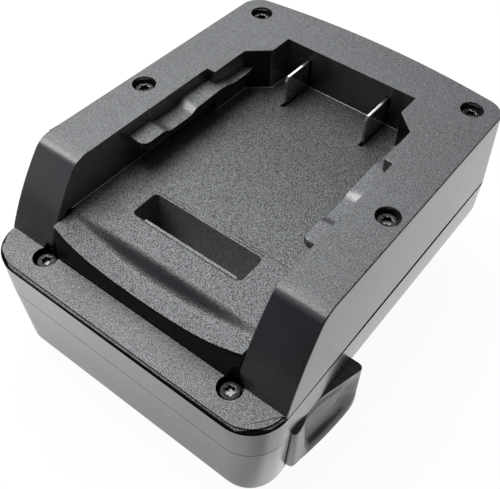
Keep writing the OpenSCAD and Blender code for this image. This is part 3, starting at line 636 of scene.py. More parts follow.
def cover_painted_shade(middle, normal, corner):
    """Painted shade: black under the cover and behind its lip, dim on the ledge's side and the seat rails'
    inner edges.
    """
    x, y, z = middle
    if LIP < z < LIP + 0.1 and normal.z > 0.9 and abs(corner.z - z) < 0.1:
        # Below 0 at the inner corners, so that the painted shade is only a thin black line at the lip's
        # edge.
        return 1.0 if inset(corner) < 0.4 else -0.6
    rail_side = 24 < abs(x) < 26 and 48 < z < 51.9 and normal.x * x < -0.4 * abs(x)
    if rail_side:
        return 0.8
    under = z < LEDGE + 0.1 and normal.z < -0.5
    front_lip = y < FRONT_END and z < LIP - 0.05 and normal.z < 0.5
    recess = y > 9 and z < LEDGE + 0.1 and inset(middle) > 0.35
    if under or front_lip or recess:
        return 1.0
    ledge_side = LIP + 0.06 < z < LEDGE - 0.02 and abs(normal.z) < 0.5 and 0.6 < inset(middle) < 1.2
    return 0.85 if ledge_side and y < FRONT_END else 0.0


def band_painted_shade(middle, normal, corner):
    """Painted shade: black on the band's top, where the cover sits, and dim at the lower parting line."""
    if middle.z < BAND_LOW and inset(middle) < 0.5 and normal.z > -0.9:
        return 0.8
    return 1.0 if middle.z > BAND_HIGH else 0.0


def widen_seam(piece):
    """Lifts the cover's lower edge a little along the sides and rear, where the two halves gape."""
    with editing(piece) as bm:
        for y in (30, 44, 80):
            whole = bm.verts[:] + bm.edges[:] + bm.faces[:]
            bmesh.ops.bisect_plane(bm, geom=whole, dist=1e-7, plane_co=place(0, y, 0), plane_no=(0, 1, 0))
        for vertex in bm.verts:
            point = drawn(vertex.co)
            if point.z < LIP - 0.25 and inset(point) < 2.3 and point.y > FRONT_END:
                share_here = eased(point.y, FRONT_END, 46) * (1 - 0.4 * eased(point.y, 80, 100))
                vertex.co.z += SEAM_GAPE * MM * share_here


def finish_piece(piece, body, slot, material, *replaced):
    """Gives a finished piece its material and body, and hides the CAD nodes that it stands for. slot is not
    used.
    """
    coat(piece, material)
    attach(piece, body)
    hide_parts(*replaced)


def dress(material, *nodes):
    """Gives CAD nodes that stay as they are their material."""
    for node in nodes:
        coat(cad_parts[node], material)


# Casing

# The battery well: half widths, then places along it from the front edge.
WELL_HALF, NECK, BAY_HALF = 29.6, 26.9, 21.0
WELL_FRONT, JOG, TAPER, BAY, WELL_END = 9.25, 70.5, 83.5, 89.0, 96.3


def well_outline(grow):
    """The battery well seen from above, grown outwards."""
    turn = tan(atan2(NECK - BAY_HALF, BAY - TAPER) / 2) * grow
    side = [(WELL_HALF + grow, WELL_FRONT), (WELL_HALF + grow, JOG + grow), (NECK + grow, JOG + grow),
            (NECK + grow, TAPER + turn), (BAY_HALF + grow, BAY + turn), (BAY_HALF + grow, WELL_END + grow)]
    return side + [(-x, y) for x, y in reversed(side)]


def in_well(point, margin=0.3):
    """Whether a point of the drawing lies in the well or on its walls."""
    x, y = abs(point.x) - margin, point.y
    if y < JOG + margin:
        return x < WELL_HALF
    if y < BAY:
        return x < NECK + max(0.0, (y - TAPER) / (BAY - TAPER)) * (BAY_HALF - NECK)
    return x < BAY_HALF and y < WELL_END + margin


SCREWS = {"rear": (35.2, 102.0), "middle": (38.0, 54.6), "front": (29.7, 7.7)}


def by_screw(point, reach=3.6):
    """Whether a point of the drawing lies beside or in a screw's bore."""
    return any((abs(point.x) - x) ** 2 + (point.y - y) ** 2 < reach ** 2 for x, y in SCREWS.values())


def cover_radius(point, edge, sizes):
    """The radius that the top cover has along an edge."""
    ends = [vertex.co for vertex in edge.verts]
    level = abs(ends[0].z - ends[1].z) < 0.1 * MM
    if by_screw(point) or (level and point.z < LEDGE + 0.3):
        return 0
    upright = abs((ends[0] - ends[1]).normalized().z) > 0.9
    if in_well(point) and point.z > LEDGE + 0.2:
        if not upright:
            return sizes.well_round
        return sizes.corner_round if point.y > 60 and point.z > 40 else sizes.fine_round
    return sizes.rim_round if point.z > LEDGE - 0.3 else 0


RAIL = {"front": 40.0, "end": 86.4, "corner": 2.1,
        "inner": [(40, 51.2), (46.8, 51.2), (50.4, 50.0), (57.2, 50.0), (60.8, 51.1), (70.4, 51.4),
                  (71.6, 51.3), (76.6, 50.3), (86.4, 50.1)],
        "rise": [(40, 0.5), (57, 0.55), (61, 0.8), (70, 0.45), (77, 0.0), (86.4, -0.3)]}


def interpolated(table, at):
    """A value from a table of places and values, with the corners eased."""
    for (a, va), (b, vb) in zip(table, table[1:]):
        if at <= b:
            return va + (vb - va) * eased(at, a, b)
    return table[-1][1]


def rail_top(x, y):
    """Height of a seat rail's wavy top."""
    return interpolated(RAIL["inner"], y) + interpolated(RAIL["rise"], y) * (abs(x) - 24.2) / 5.4


def rail_edge(y, inner):
    """Where a seat rail's inner edge runs, with both ends rounded in plan."""
    r, rear_long, rear_wide = RAIL["corner"], 2.4, 2.7
    into = max(0.0, RAIL["front"] + r - y, y - RAIL["end"] + rear_long * r)
    if into == 0:
        return inner
    if y < 60:
        return inner + r - sqrt(max(0.0, r * r - into * into))
    return inner + (rear_wide - rear_wide * sqrt(max(0.0, 1 - (into / (rear_long * r)) ** 2)))


def seat_rail(name, sizes):
    """One seat rail on the right: a wavy bar whose inner edge is round, let into the wall."""
    inner, under, edge = (v / MM for v in (sizes.rail_inner, sizes.rail_under, sizes.rail_round))
    front, end, r = RAIL["front"], RAIL["end"], RAIL["corner"]
    count, steps = 96, 8
    places = [front + r * (1 - c) for c, s in arc(0, 90, 7, last=6)]
    places += [front + r + (end - front - r - r) * i / count for i in range(count + 1)]
    places += [end - r * (1 - s) for c, s in arc(0, 90, 7, 1)]
    rings = []
    for y in places:
        wall = (WELL_HALF if y < JOG + 0.2 else NECK) + 0.3
        x0 = rail_edge(y, inner)
        ring = [(wall, y, under), (x0 + edge, y, under)]
        ring += [(x0 + edge - edge * s, y, under + edge - edge * c) for c, s in arc(0, 90, 5, 1, 4)]
        top = rail_top(x0 + edge, y)
        ring += [(x0 + edge - edge * c, y, top - edge + edge * s) for c, s in arc(0, 90, 6)]
        for k in range(1, steps + 1):
            x = x0 + edge + (wall - x0 - edge) * k / steps
            ring.append((x, y, rail_top(x, y)))
        rings.append(ring)
    return solid(name, rings)


def mirrored_twin(piece, name):
    """A mirror image of a piece across the casing's middle."""
    bm = bmesh.new()
    bm.from_mesh(piece.data)
    bmesh.ops.transform(bm, matrix=Matrix.Scale(-1, 4, (1, 0, 0)), verts=bm.verts)
    bmesh.ops.reverse_faces(bm, faces=bm.faces)
    return new_object(name, bm)


def join(piece, *others):
    """Adds the meshes of other objects to a piece, and removes them."""
    with editing(piece) as bm:
        for other in others:
            bm.from_mesh(other.data)
    for other in others:
        bpy.data.objects.remove(other)


def arm_tops(sizes):
    """The room above the rounded turn from the rim down into the two slopes."""
    r, fall = sizes.arm_top_round / MM, radians(48.9)
    start = SLOPE_TOP + r * tan(fall / 2)
    turns = [fall * i / 10 for i in range(11)]
    outline = [(start, RIM + 2)] + [(start - r * sin(a), RIM + 0.02 - r + r * cos(a)) for a in turns]
    outline.append((outline[-1][0] - 3 * cos(fall) - 1, outline[-1][1] - 3 * sin(fall) + 1))
    outline.append((SLOPE_TOP - 8, RIM + 2))
    half = HALF_WIDTH + 1
    return solid("arm_tops", [[(x, y, z) for y, z in outline] for x in (-half, half)])


class ADAPTER_OT_casing(bpy.types.Operator):
    """Round the casing's three mouldings and build the wavy seat rails"""
    bl_idname = "adapter.casing"
    bl_label = "Casing"

    def execute(self, context):
        sizes, finish = context.scene.adapter_casing, context.scene.adapter_plastic
        plastic = moulded_plastic("casing_plastic", finish, rough=1.2)
        dark = moulded_plastic("lower_plastic", finish, 0.95)

        cover = merged_copy("top_cover_moulding", "top_cover", 0.03)
        cut(cover, well_outline(0.01), 40.8, RIM + 4)
        combine(cover, arm_tops(sizes), "DIFFERENCE")
        clean_piece(cover, 0.03)
        widen_seam(cover)
        soften(cover, lambda p, e: cover_radius(p, e, sizes), 3, 34, directions(6, 30, 55, 80))
        rail = seat_rail("rail", sizes)
        join(cover, rail, mirrored_twin(rail, "rail_left"))
        shade(cover)
        paint(cover, "grain", upward)
        paint_shade_marks(cover, cover_painted_shade)
        finish_piece(cover, CASING, "casing_top", plastic, "top_cover")

        band = merged_copy("middle_band_moulding", "middle_shell", 0.05)
        soften(band, lambda p, e: 0 if inset(p) > 1.5 else sizes.fine_round, 3, 34)
        shade(band)
        paint(band, "grain", upward)
        paint_shade_marks(band, band_painted_shade)
        finish_piece(band, CASING, "casing_band", plastic, "middle_shell")

        foot = merged_copy("lower_shell_moulding", "lower_shell", 0.05)

        def foot_radius(point, edge):
            outer = point.z < 1 and point.y < 36 and (abs(point.x) > 40 or point.y < 4)
            return sizes.base_round if outer else sizes.fine_round

        soften(foot, foot_radius, 3, 34, directions(-80, -50, -25, -5))
        shade(foot)
        paint(foot, "grain", lambda p, n: 0.35 * eased(-n.z, 0.9, 0.99))
        finish_piece(foot, CASING, "casing_lower", dark, "lower_shell")
        return {"FINISHED"}


# Deck

def deck_profile(x, deck):
    """The deck's upper line at x, from the apron's foot to the fall line, in y and z."""
    top, fall, side, middle = (v / MM for v in (deck.height, deck.fall, deck.side_drop, deck.middle_drop))
    out = (x / DECK_HALF) ** 2
    shelf = top - middle + (middle - side) * out
    edge_y = 10.3 + 1.7 * out ** 2
    step_length = 5.6 - 2.6 * out
    step_y = 17.8 + 0.5 * out - step_length / 2
    apron, r = 9.35, 0.8
    line = [(apron, 31.1), (apron, LEDGE)]
    line += [(apron + (edge_y + r * 0.3 - apron) * i / 5, LEDGE + (shelf - r - LEDGE) * i / 5)
             for i in range(1, 5)]
    line += [(edge_y + r - r * s * 0.9, shelf - r + r * s) for c, s in arc(12, 78, 7)]
    line += [(edge_y + r + (step_y - edge_y - r) * i / 4, shelf) for i in range(1, 4)]
    for i in range(17):
        t = i / 16
        rise = t * t * t * (t * (6 * t - 15) + 10)
        line.append((step_y + step_length * t, shelf + (top - fall - shelf) * rise))
    return line + [(26.0, top - fall * 0.75), (31.0, top - fall * 0.4), (deck.fall_at / MM, top)]


def deck_ring(x, deck):
    """The section at x through the deck's wavy front, as points of the drawing."""
    line = deck_profile(x, deck)
    top, thick, back = deck.height / MM, deck.thickness / MM, 2.0
    under = [(y + back, z - thick) for y, z in reversed(line[1:-1])]
    ring = line + [(deck.fall_at / MM, top - thick)] + under + [(line[0][0] + back, line[0][1])]
    return [(x, y, z) for y, z in ring]


def rounded_box(x, y0, y1, r):
    """The outline of a box from -x to x with round corners."""
    centres = ((x - r, y1 - r), (r - x, y1 - r), (r - x, y0 + r), (x - r, y0 + r))
    return [(cx + r * c, cy + r * s) for quarter, (cx, cy) in enumerate(centres)
            for c, s in arc(90 * quarter, 90, 8)]


def deck_grain(middle, normal, pocket):
    """Grain on the deck and in the pocket."""
    half, front, rear = pocket
    inside = abs(middle.x) < half + 0.1 and front - 0.1 < middle.y < rear + 0.1
    if inside and middle.z < 41.3:
        return 0.7
    return eased(normal.z, 0.6, 0.9)


def deck_painted_light(middle, normal, pocket, top):
    """Painted light: painted highlights along the walls' foot and on the pocket's lip, and pale paint that
    lightens the pocket's dim inside, most on its far wall.
    """
    if middle.z > top + 0.02:
        return 1.0
    half, front, rear = pocket
    inside = abs(middle.x) < half + 0.1 and front + 0.05 < middle.y < rear + 0.1
    if not inside or middle.z > top - 0.3:
        return 0.0
    if middle.y < front + 1.0:
        return 0.3
    return 0.9 if normal.y < -0.9 and middle.z < top - 1 else 0.1


def apron_shade(middle, normal, corner):
    """Painted shade that darkens and dulls the steep apron under the deck's front roll."""
    if middle.y > 15 or middle.z > 42 or abs(middle.x) > 29.5:
        return 0.0
    return 0.8 * eased(-normal.y, 0.3, 0.75)


def dust_line(name, top):
    """A fine raised bead of flash where the well's walls meet the deck, which the deck paints pale as a
    painted highlight.
    """
    section = ((0.05, -0.1), (0.05, 0.14), (-0.1, 0.12), (-0.2, 0.03), (-0.2, -0.1))
    lines = [[(x, y, top + rise) for x, y in well_outline(grow)] for grow, rise in section]
    rings = list(zip(*lines))
    for end in (0, -1):
        rings[end] = [(x, 18.5, z) for x, y, z in rings[end]]
    return solid(name, rings)


class ADAPTER_OT_deck(bpy.types.Operator):
    """Build the deck with its wavy front, the catch pocket and the blade slots"""
    bl_idname = "adapter.deck"
    bl_label = "Deck"

    def execute(self, context):
        deck = context.scene.adapter_deck
        sizes = context.scene.adapter_casing
        top, thick, fall_at = deck.height / MM, deck.thickness / MM, deck.fall_at / MM
        count = 64
        piece = solid("deck_moulding", [deck_ring(DECK_HALF * (2 * i / count - 1), deck)
                                        for i in range(count + 1)])
        clamped = WELL_HALF + 2.0
        flat = [(x, y) for x, y in well_outline(2.0) if y > fall_at]
        add(piece, [(clamped, fall_at)] + flat + [(-clamped, fall_at)], top - thick, top)

        half, front = deck.pocket_width / MM / 2, deck.pocket_at / MM
        rear = (deck.pocket_at + deck.pocket_length) / MM
        pocket = (half, front, rear)
        floor, wall = top - deck.pocket_depth / MM, 1.4
        add(piece, rounded_box(half + wall, front - wall, rear + wall, 2.6), floor - wall, top - 0.6)
        cut(piece, rounded_box(half, front, rear, 1.2), floor, top + 2)
        add(piece, oblong(-13.2, 15.9, front - 0.4, front + 0.68), top - 2.2, top - 0.45)
        # Fine grooves at the fall line, behind the pocket and ahead of it: x0, x1, y, half width, depth.
        scratches = [(-13.0, -6.5, fall_at, 0.07, 0.2), (8.5, 29.3, fall_at, 0.07, 0.2),
                     (-15.5, -6.0, rear + 0.7, 0.08, 0.5), (8.0, 17.0, rear + 0.7, 0.08, 0.5),
                     (-14.0, 16.2, front - 0.4, 0.1, 0.8)]
        for x0, x1, y, wide, deep in scratches:
            cut(piece, oblong(x0, x1, y - wide, y + wide), top - deep, top + 1)
        screw_x, screw_y = SCREWS["front"]
        for side in (-1, 1):
            x = side * 13.3
            cut(piece, oblong(x - 0.6, x + 0.6, 83.7, 97.5), 36, top + 2)
            bore = [(side * screw_x + 3.2 * c, screw_y + 3.2 * s) for c, s in arc(0, 360, 45, last=44)]
            cut(piece, bore, 20, 50)
        clean_piece(piece, 0.002)

        def radius(point, edge):
            scratched = abs(point.x) < 17.2 and any(abs(point.y - s[2]) < 0.2 for s in scratches)
            if by_screw(point) or abs(point.y - fall_at) < 0.2 or point.z < LIP or scratched:
                return 0
            by_pocket = abs(point.x) < half + 1 and front - 1 < point.y < rear + 0.8
            if by_pocket and point.y < front + 0.8 and abs(point.x) < 16:
                return 0
            return sizes.well_round * 0.8 if by_pocket and point.z > top - 1.5 else sizes.fine_round * 0.6

        soften(piece, radius, 2, open_to=directions(10, 40, 70))
        join(piece, dust_line("dust_line", top))
        shade(piece)
        paint(piece, "grain", lambda p, n: deck_grain(p, n, pocket))
        paint(piece, "dust", lambda p, n: deck_painted_light(p, n, pocket, top))
        paint_shade_marks(piece, apron_shade)
        plastic = moulded_plastic("deck_plastic", context.scene.adapter_plastic, rough=2.0, rear=0.36)
        finish_piece(piece, CASING, "deck_top", plastic, "deck")
        return {"FINISHED"}


# Latches

WING = {"low": 3.5, "high": 21.3, "inner": 41.2, "front": 12.4, "end": 38.1}

# How far out the wing's face stands: places from the front edge, then at its top and at its foot.
WING_LINES = [(12.4, 43.7, 43.7), (12.7, 44.6, 44.6), (13.5, 45.0, 45.1), (16.0, 44.8, 45.5),
              (18.0, 44.3, 45.9), (20.1, 44.05, 46.2), (24.4, 44.3, 46.8), (30.2, 45.9, 47.3),
              (34.5, 47.0, 47.5), (36.8, 47.4, 47.4), (37.7, 47.0, 47.0), (38.1, 46.0, 46.0)]


def wing_line(at, column):
    """How far out the wing's face stands at a place, by a smooth cubic through one column of its lines."""
    table = [(row[0], row[column]) for row in WING_LINES]
    n = len(table)
    at = min(max(at, table[0][0]), table[-1][0])
    i = max(j for j in range(n - 1) if table[j][0] <= at)
    (x0, y0), (x1, y1) = table[i], table[i + 1]
    before, after = table[max(i - 1, 0)], table[min(i + 2, n - 1)]
    h = x1 - x0
    m0 = (y1 - before[1]) / (x1 - before[0]) * h
    m1 = (after[1] - y0) / (after[0] - x0) * h
    t = (at - x0) / h
    return ((2 * t ** 3 - 3 * t ** 2 + 1) * y0 + (t ** 3 - 2 * t ** 2 + t) * m0
            + (3 * t ** 2 - 2 * t ** 3) * y1 + (t ** 3 - t ** 2) * m1)


def wing_face(y, z, dish):
    """How far out a latch wing's face stands at a point."""
    low, high, end, corner = WING["low"], WING["high"], WING["end"], 7.0
    t = (z - low) / (high - low)
    face = wing_line(y, 2) * (1 - t) + wing_line(y, 1) * t
    dy, dz = max(0.0, y - (end - corner)), max(0.0, low + corner - z)
    edge = min(corner - hypot(dy, dz) if dy and dz else 99.0, end - y, z - low)
    into = eased(edge, 0.5, 4.6) * eased(high - z, -2.0, 8.0) * eased(y, 16.8, 19.6)
    return face - dish * into


def latch_wing(name, sizes):
    """The right latch's wing as a closed skin with a dished face."""
    dish, r, along, steps = sizes.dish / MM, 4.0, 60, 32
    low, high, inner = WING["low"], WING["high"], WING["inner"]
    even = {WING["front"] + (WING["end"] - WING["front"]) * i / along for i in range(along + 1)}
    rings = []
    for y in sorted(even | {row[0] for row in WING_LINES}):
        into = max(0.0, y - (WING["end"] - r))
        foot = low + r - sqrt(max(0.0, r * r - into * into))
        ring = [(inner, y, high), (inner, y, foot)]
        for k in range(steps + 1):
            z = foot + (high - foot) * k / steps
            ring.append((wing_face(y, z, dish), y, z))
        rings.append(ring)
    return solid(name, rings)


class ADAPTER_OT_latches(bpy.types.Operator):
    """Build the two latches: a dished wing on the lever with its hook"""
    bl_idname = "adapter.latches"
    bl_label = "Latches"

    def execute(self, context):
        sizes = context.scene.adapter_latch
        plastic = moulded_plastic("latch_plastic", context.scene.adapter_plastic, gloss=0.45, rough=2.2)
        lever = merged_copy("lever", "right_latch")
        root = WING["inner"] + 0.2
        cut(lever, oblong(root, 60, 5, 60), -5, 40)
        soften(lever, lambda p, e: 0.2 * MM if p.y > 24 and p.x < root - 0.3 else 0)
        wing = latch_wing("right_latch_moulding", sizes)
        soften(wing, lambda p, e: sizes.edge_round if p.x > root + 1 else 0.1 * MM, 3, 40)
        join(wing, lever)
        left = mirrored_twin(wing, "left_latch_moulding")
        for piece, side in ((wing, "right"), (left, "left")):
            shade(piece, 50)
            paint(piece, "grain", upward)
            finish_piece(piece, side + "_latch_body", "latch_plastic", plastic, side + "_latch")
        pin_steel = metal("pin_steel", (0.62, 0.62, 0.64), 0.22, 0.0003, (1, 1, 12))
        dress(pin_steel, "right_pivot_pin", "left_pivot_pin")
        return {"FINISHED"}


# Screws

def grow(piece, inputs, kinds, fixed, links, material):
    """Builds a piece by a Geometry Nodes tree of its own, and bakes it to a plain mesh.

    inputs gives each named input its socket type and value, kinds the nodes' kinds, fixed the values of
    single sockets, and links each linked socket's source. A socket is its node, a dot and its name.
    """
    tree = bpy.data.node_groups.new(piece.name + "_tree", "GeometryNodeTree")
    modifier = piece.modifiers.new("grow", "NODES")
    tree.interface.new_socket("Geometry", in_out="INPUT", socket_type="NodeSocketGeometry")
    values = {}
    for label, (kind, value) in inputs.items():
        made = tree.interface.new_socket(label, in_out="INPUT", socket_type="NodeSocket" + kind)
        values[made.identifier] = value
    tree.interface.new_socket("Geometry", in_out="OUTPUT", socket_type="NodeSocketGeometry")
    nodes = {key: tree.nodes.new(kind) for key, kind in kinds.items()}
    nodes.update(start=tree.nodes.new("NodeGroupInput"), end=tree.nodes.new("NodeGroupOutput"),
                 real=tree.nodes.new("GeometryNodeRealizeInstances"),
                 coat=tree.nodes.new("GeometryNodeSetMaterial"))

    def socket(path, side):
        key, name = path.split(".")
        return find_socket(getattr(nodes[key], side), name)

    for path, value in {**fixed, "coat.Material": material}.items():
        socket(path, "inputs").default_value = value
    links.update({"coat.Geometry": "real.Geometry", "end.Geometry": "coat.Geometry"})
    for target, source in links.items():
        tree.links.new(socket(source, "outputs"), socket(target, "inputs"))
    modifier.node_group = tree
    for identifier, value in values.items():
        modifier[identifier] = value
    bake_modifiers(piece)


def lathe(name, profile, steps=48):
    """A closed turned solid around z from radius and height pairs, both ends on the axis."""
    bm = bmesh.new()
    low, high = bm.verts.new((0, 0, profile[0][1])), bm.verts.new((0, 0, profile[-1][1]))
    turns = [tau * i / steps for i in range(steps)]
    rings = [[bm.verts.new((radius * cos(a), radius * sin(a), z)) for a in turns]
             for radius, z in profile[1:-1]]
    for i in range(steps):
        j = (i + 1) % steps
        bm.faces.new((low, rings[0][j], rings[0][i]))
        bm.faces.new((high, rings[-1][i], rings[-1][j]))
        for a, b in zip(rings, rings[1:]):
            bm.faces.new((a[i], a[j], b[j], b[i]))
    bmesh.ops.recalc_face_normals(bm, faces=bm.faces)
    return new_object(name, bm)


def lobed_socket(sizes):
    """The six-lobe room that the driver leaves in a screw head."""
    outer, inner, count = sizes.socket / 2, sizes.socket / 2 * 0.73, 72
    rings = []
    for z, shrink in ((-sizes.socket_depth, 0.9), (0.5 * MM, 1.0)):
        ring = []
        for i in range(count):
            a = tau * i / count
            radius = (outer + inner) / 2 + (outer - inner) / 2 * cos(6 * a)
            ring.append((shrink * radius * cos(a), shrink * radius * sin(a), z))
        rings.append(ring)
    return solid("socket", rings, lambda *point: point)


def rubbed_and_glint_share(middle, normal, head, sizes):
    """How far a screw's black finish has rubbed off, on the head's rim and the socket's edge, with a
    painted glint of bare steel on the socket's floor.
    """
    out = hypot(middle.x, middle.y)
    if middle.z > -0.16 * MM and normal.z < 0.97:
        return 1.0
    # Painted glint: bare steel on the socket's floor.
    if out < sizes.socket * 0.4 and normal.z > 0.9 and middle.z < -sizes.socket_depth * 0.8:
        return 0.75
    return 0.08 if out < head * 0.8 else 0.0


def casing_screw(name, sizes, under_head):
    """A pan head screw whose head's top lies at its origin."""
    head, height, shank = sizes.head / 2, sizes.head_height, sizes.shank / 2
    tip = -height - under_head
    profile = [(0, tip), (shank * 0.6, tip), (shank, tip + shank * 0.8), (shank, -height),
               (head * 0.97, -height), (head, -height * 0.93), (head, -height * 0.5)]
    profile += [(head * (0.79 + 0.21 * c), -height * 0.5 + height * 0.45 * s) for c, s in arc(0, 70, 8, 1)]
    screw = lathe(name, profile + [(head * 0.8, 0), (0, 0)])
    combine(screw, lobed_socket(sizes), "DIFFERENCE")
    soften(screw, lambda p, e: 0.07 * MM, 2, 50)
    paint(screw, "edge", lambda middle, normal: rubbed_and_glint_share(middle, normal, head, sizes), Vector)
    return screw


def screws_at(name, screw, places, material, seed, *replaced):
    """One mesh of like screws, each head's top at one of the places and turned by its own seeded angle."""
    bm = bmesh.new()
    for p in places:
        bm.verts.new(place(*p))
    piece = new_object(name, bm)
    kinds = {"points": "GeometryNodeMeshToPoints", "info": "GeometryNodeObjectInfo",
             "spin": "FunctionNodeRandomValue", "turn": "ShaderNodeCombineXYZ",
             "instance": "GeometryNodeInstanceOnPoints"}
    links = {"points.Mesh": "start.Geometry", "info.Object": "start.Screw", "spin.Seed": "start.Seed",
             "turn.Z": "spin.Value_001", "instance.Points": "points.Points",
             "instance.Instance": "info.Geometry", "instance.Rotation": "turn.Vector",
             "real.Geometry": "instance.Instances"}
    grow(piece, {"Screw": ("Object", screw), "Seed": ("Int", seed)}, kinds,
         {"spin.Max_001": tau}, links, material)
    bpy.data.objects.remove(screw)
    shade(piece, 42)
    finish_piece(piece, CASING, "screw_black", material, *replaced)


class ADAPTER_OT_screws(bpy.types.Operator):
    """Set the six casing screws and the small carrier screws"""
    bl_idname = "adapter.screws"
    bl_label = "Screws"

    def execute(self, context):
        sizes = context.scene.adapter_screws
        black = blackened_steel("black_screw_steel")
        sink, sides = 1.3, (-1, 1)
        on_rim = [(s * x, y, RIM - sink) for x, y in (SCREWS["rear"], SCREWS["middle"]) for s in sides]
        on_ledge = [(s * SCREWS["front"][0], SCREWS["front"][1], LEDGE - sink) for s in sides]
        long, short = casing_screw("long", sizes, 24 * MM), casing_screw("short", sizes, 16 * MM)
        screws_at("rim_screw_set", long, on_rim, black, 3, "rim_screws")
        screws_at("front_screw_set", short, on_ledge, black, 8, "front_screws")
        bright = metal("bright_screw_steel", (0.58, 0.58, 0.6), 0.28, 0.0004)
        dress(bright, "blade_carrier_screws", "clip_carrier_screws")
        return {"FINISHED"}


# Contacts, leads and springs

class ADAPTER_OT_contacts(bpy.types.Operator):
    """Finish the blades, clips, carriers and leads"""
    bl_idname = "adapter.contacts"
    bl_label = "Contacts"

    def execute(self, context):
        plated = metal("plated_copper", (0.56, 0.56, 0.54), 0.2, 0.0004, (1, 1, 14), 0.5)
        brass = metal("clip_brass_metal", (0.72, 0.52, 0.24), 0.28, 0.0004, (1, 10, 1), 0.6)
        carrier = moulded_plastic("carrier_resin", context.scene.adapter_plastic, 1.6, 0.0)
        for side in ("positive", "negative"):
            for kind, edge_round, slot, material in (("_blade", 0.09 * MM, "blade_metal", plated),
                                                     ("_clip", 0.08 * MM, "clip_brass", brass)):
                piece = merged_copy(side + kind + "_metal", side + kind)
                soften(piece, lambda p, e: edge_round, 2)
                shade(piece)
                finish_piece(piece, CASING, slot, material, side + kind)
        dress(carrier, "blade_carrier", "clip_carrier")
        dress(lead_insulation("red_insulation", (0.42, 0.03, 0.02)), "positive_lead")
        dress(lead_insulation("black_insulation", (0.02, 0.02, 0.02)), "negative_lead")
        return {"FINISHED"}


def wound_coil(name, radius, length, wire, material):
    """A coil of wire along z, wound from its middle radius, its length and the wire's radius."""
    bm = bmesh.new()
    bm.verts.new((0, 0, 0))
    piece = new_object(name, bm)
    inputs = {"Turns": ("Float", 5.0), "Coil radius": ("Float", radius), "Length": ("Float", length),
              "Wire radius": ("Float", wire)}
    kinds = {"spiral": "GeometryNodeCurveSpiral", "ring": "GeometryNodeCurvePrimitiveCircle",
             "tube": "GeometryNodeCurveToMesh"}
    fixed = {"spiral.Resolution": 32, "ring.Resolution": 12, "tube.Fill Caps": True}
    links = {"spiral.Rotations": "start.Turns", "spiral.Start Radius": "start.Coil radius",
             "spiral.End Radius": "start.Coil radius", "spiral.Height": "start.Length",
             "ring.Radius": "start.Wire radius", "tube.Curve": "spiral.Curve",
             "tube.Profile Curve": "ring.Curve", "real.Geometry": "tube.Mesh"}
    grow(piece, inputs, kinds, fixed, links, material)
    return piece


class ADAPTER_OT_springs(bpy.types.Operator):
    """Wind the two latch springs"""
    bl_idname = "adapter.springs"
    bl_label = "Springs"

    def execute(self, context):
        steel = metal("spring_wire", (0.6, 0.6, 0.62), 0.2, 0.0003)
        wire = 0.6 * MM
        for side in ("right", "left"):
            node = side + "_latch_spring"
            low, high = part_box(node)
            middle = (low + high) / 2
            piece = wound_coil(side + "_spring_coil", (high.z - low.z - wire) / 2, high.x - low.x - wire,
                               wire / 2, steel)
            start = Matrix.Translation((low.x + wire / 2, middle.y, middle.z))
            piece.data.transform(start @ Matrix.Rotation(radians(90), 4, "Y"))
            shade(piece, 60)
            finish_piece(piece, CASING, "spring_steel", steel, node)
            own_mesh(piece)
        return {"FINISHED"}


# Studio

def floor_material(name, tone):
    """A pale floor under a soft shadow, which the camera and the reflections see nearly white.

    Reflections see its glow with painted shade: darker far away, ahead of the casing's front and close
    beside its right side.
    """
    material, net = new_material(name)
    rays = net.node("LightPath")
    seen = rays["Is Camera Ray"]
    mirrored = (rays["Is Glossy Ray"] + rays["Is Transmission Ray"]).clamped() * (1 - seen)
    spread = net.split(net.place())
    x, y = spread["X"], spread["Y"]
    forward = 0 - y
    far = (x * x + y * y).power(0.5).ramp(0.3, 1.1, 1.0, 0.1)
    # Painted shade in the glow that reflections see: a painted contact shadow just ahead of the front,
    # darker to the right.
    fade = x.ramp(-0.06, 0.03, 1.0, 0.7) * forward.ramp(0.0565, 0.068, 0.7, 1.0)
    ahead = (1 - forward.ramp(0.05, 0.0565) * (1 - fade)) * forward.ramp(0.072, 0.13, 1.0, 0.08)
    beside = 1 - 0.2 * (x.ramp(0.044, 0.052) * x.ramp(0.06, 0.13, 1.0, 0.0))
    strength = seen + mirrored * far * ahead * beside
    glow = net.node("Emission", {"Color": (1, 1, 1, 1), "Strength": strength})["Emission"]
    net.surface(net.mix(seen * 0.95 + mirrored * 0.95, net.diffuse(rgba(tone)), glow))
    return material


def area_light(name, at, target, sides, power, tone):
    """A rectangular soft light that faces the target."""
    data = bpy.data.lights.new(name, "AREA")
    data.shape = "RECTANGLE"
    data.size, data.size_y = sides
    data.energy = power
    data.color = tone
    lamp = shown(name, data)
    lamp.location = at
    lamp.rotation_euler = (target - Vector(at)).to_track_quat("-Z", "Y").to_euler()


def soft_world(name, ambient):
    """White where the camera looks past the floor, and otherwise a glow from above and the left front."""
    world = bpy.data.worlds.new(name)
    world.use_nodes = True
    net = Net(world.node_tree)
    seen = net.node("LightPath")["Is Camera Ray"]
    above = net.toward((-0.3, 0.45, 0.84)).ramp(0.2, 0.95, 0.03, ambient)
    left_front = net.toward((-0.94, -0.34, 0.0)).ramp(0.69, 0.95, 0.0, 0.44)
    strength = seen + (1 - seen) * (above + left_front)
    tone = net.blend(seen, (0.94, 0.97, 1.0, 1.0), (1.0, 1.0, 1.0, 1.0))
    light = net.node("Background", {"Color": tone, "Strength": strength})["Background"]
    net.node("OutputWorld", {"Surface": light})
    return world


def photo_camera(name):
    """The camera that fits the photo's straight edges, screws and outline."""
    data = bpy.data.cameras.new(name)
    data.sensor_width = 36.0
    data.lens = 51.4993
    data.shift_x, data.shift_y = -0.07187, 0.018631
    data.clip_start, data.clip_end = 0.01, 20.0
    camera = shown(name, data)
    camera.location = (0.08085859, -0.10845056, 0.17376390)
    camera.rotation_euler = [radians(a) for a in (39.88697, -2.74753, 36.56623)]
    return camera


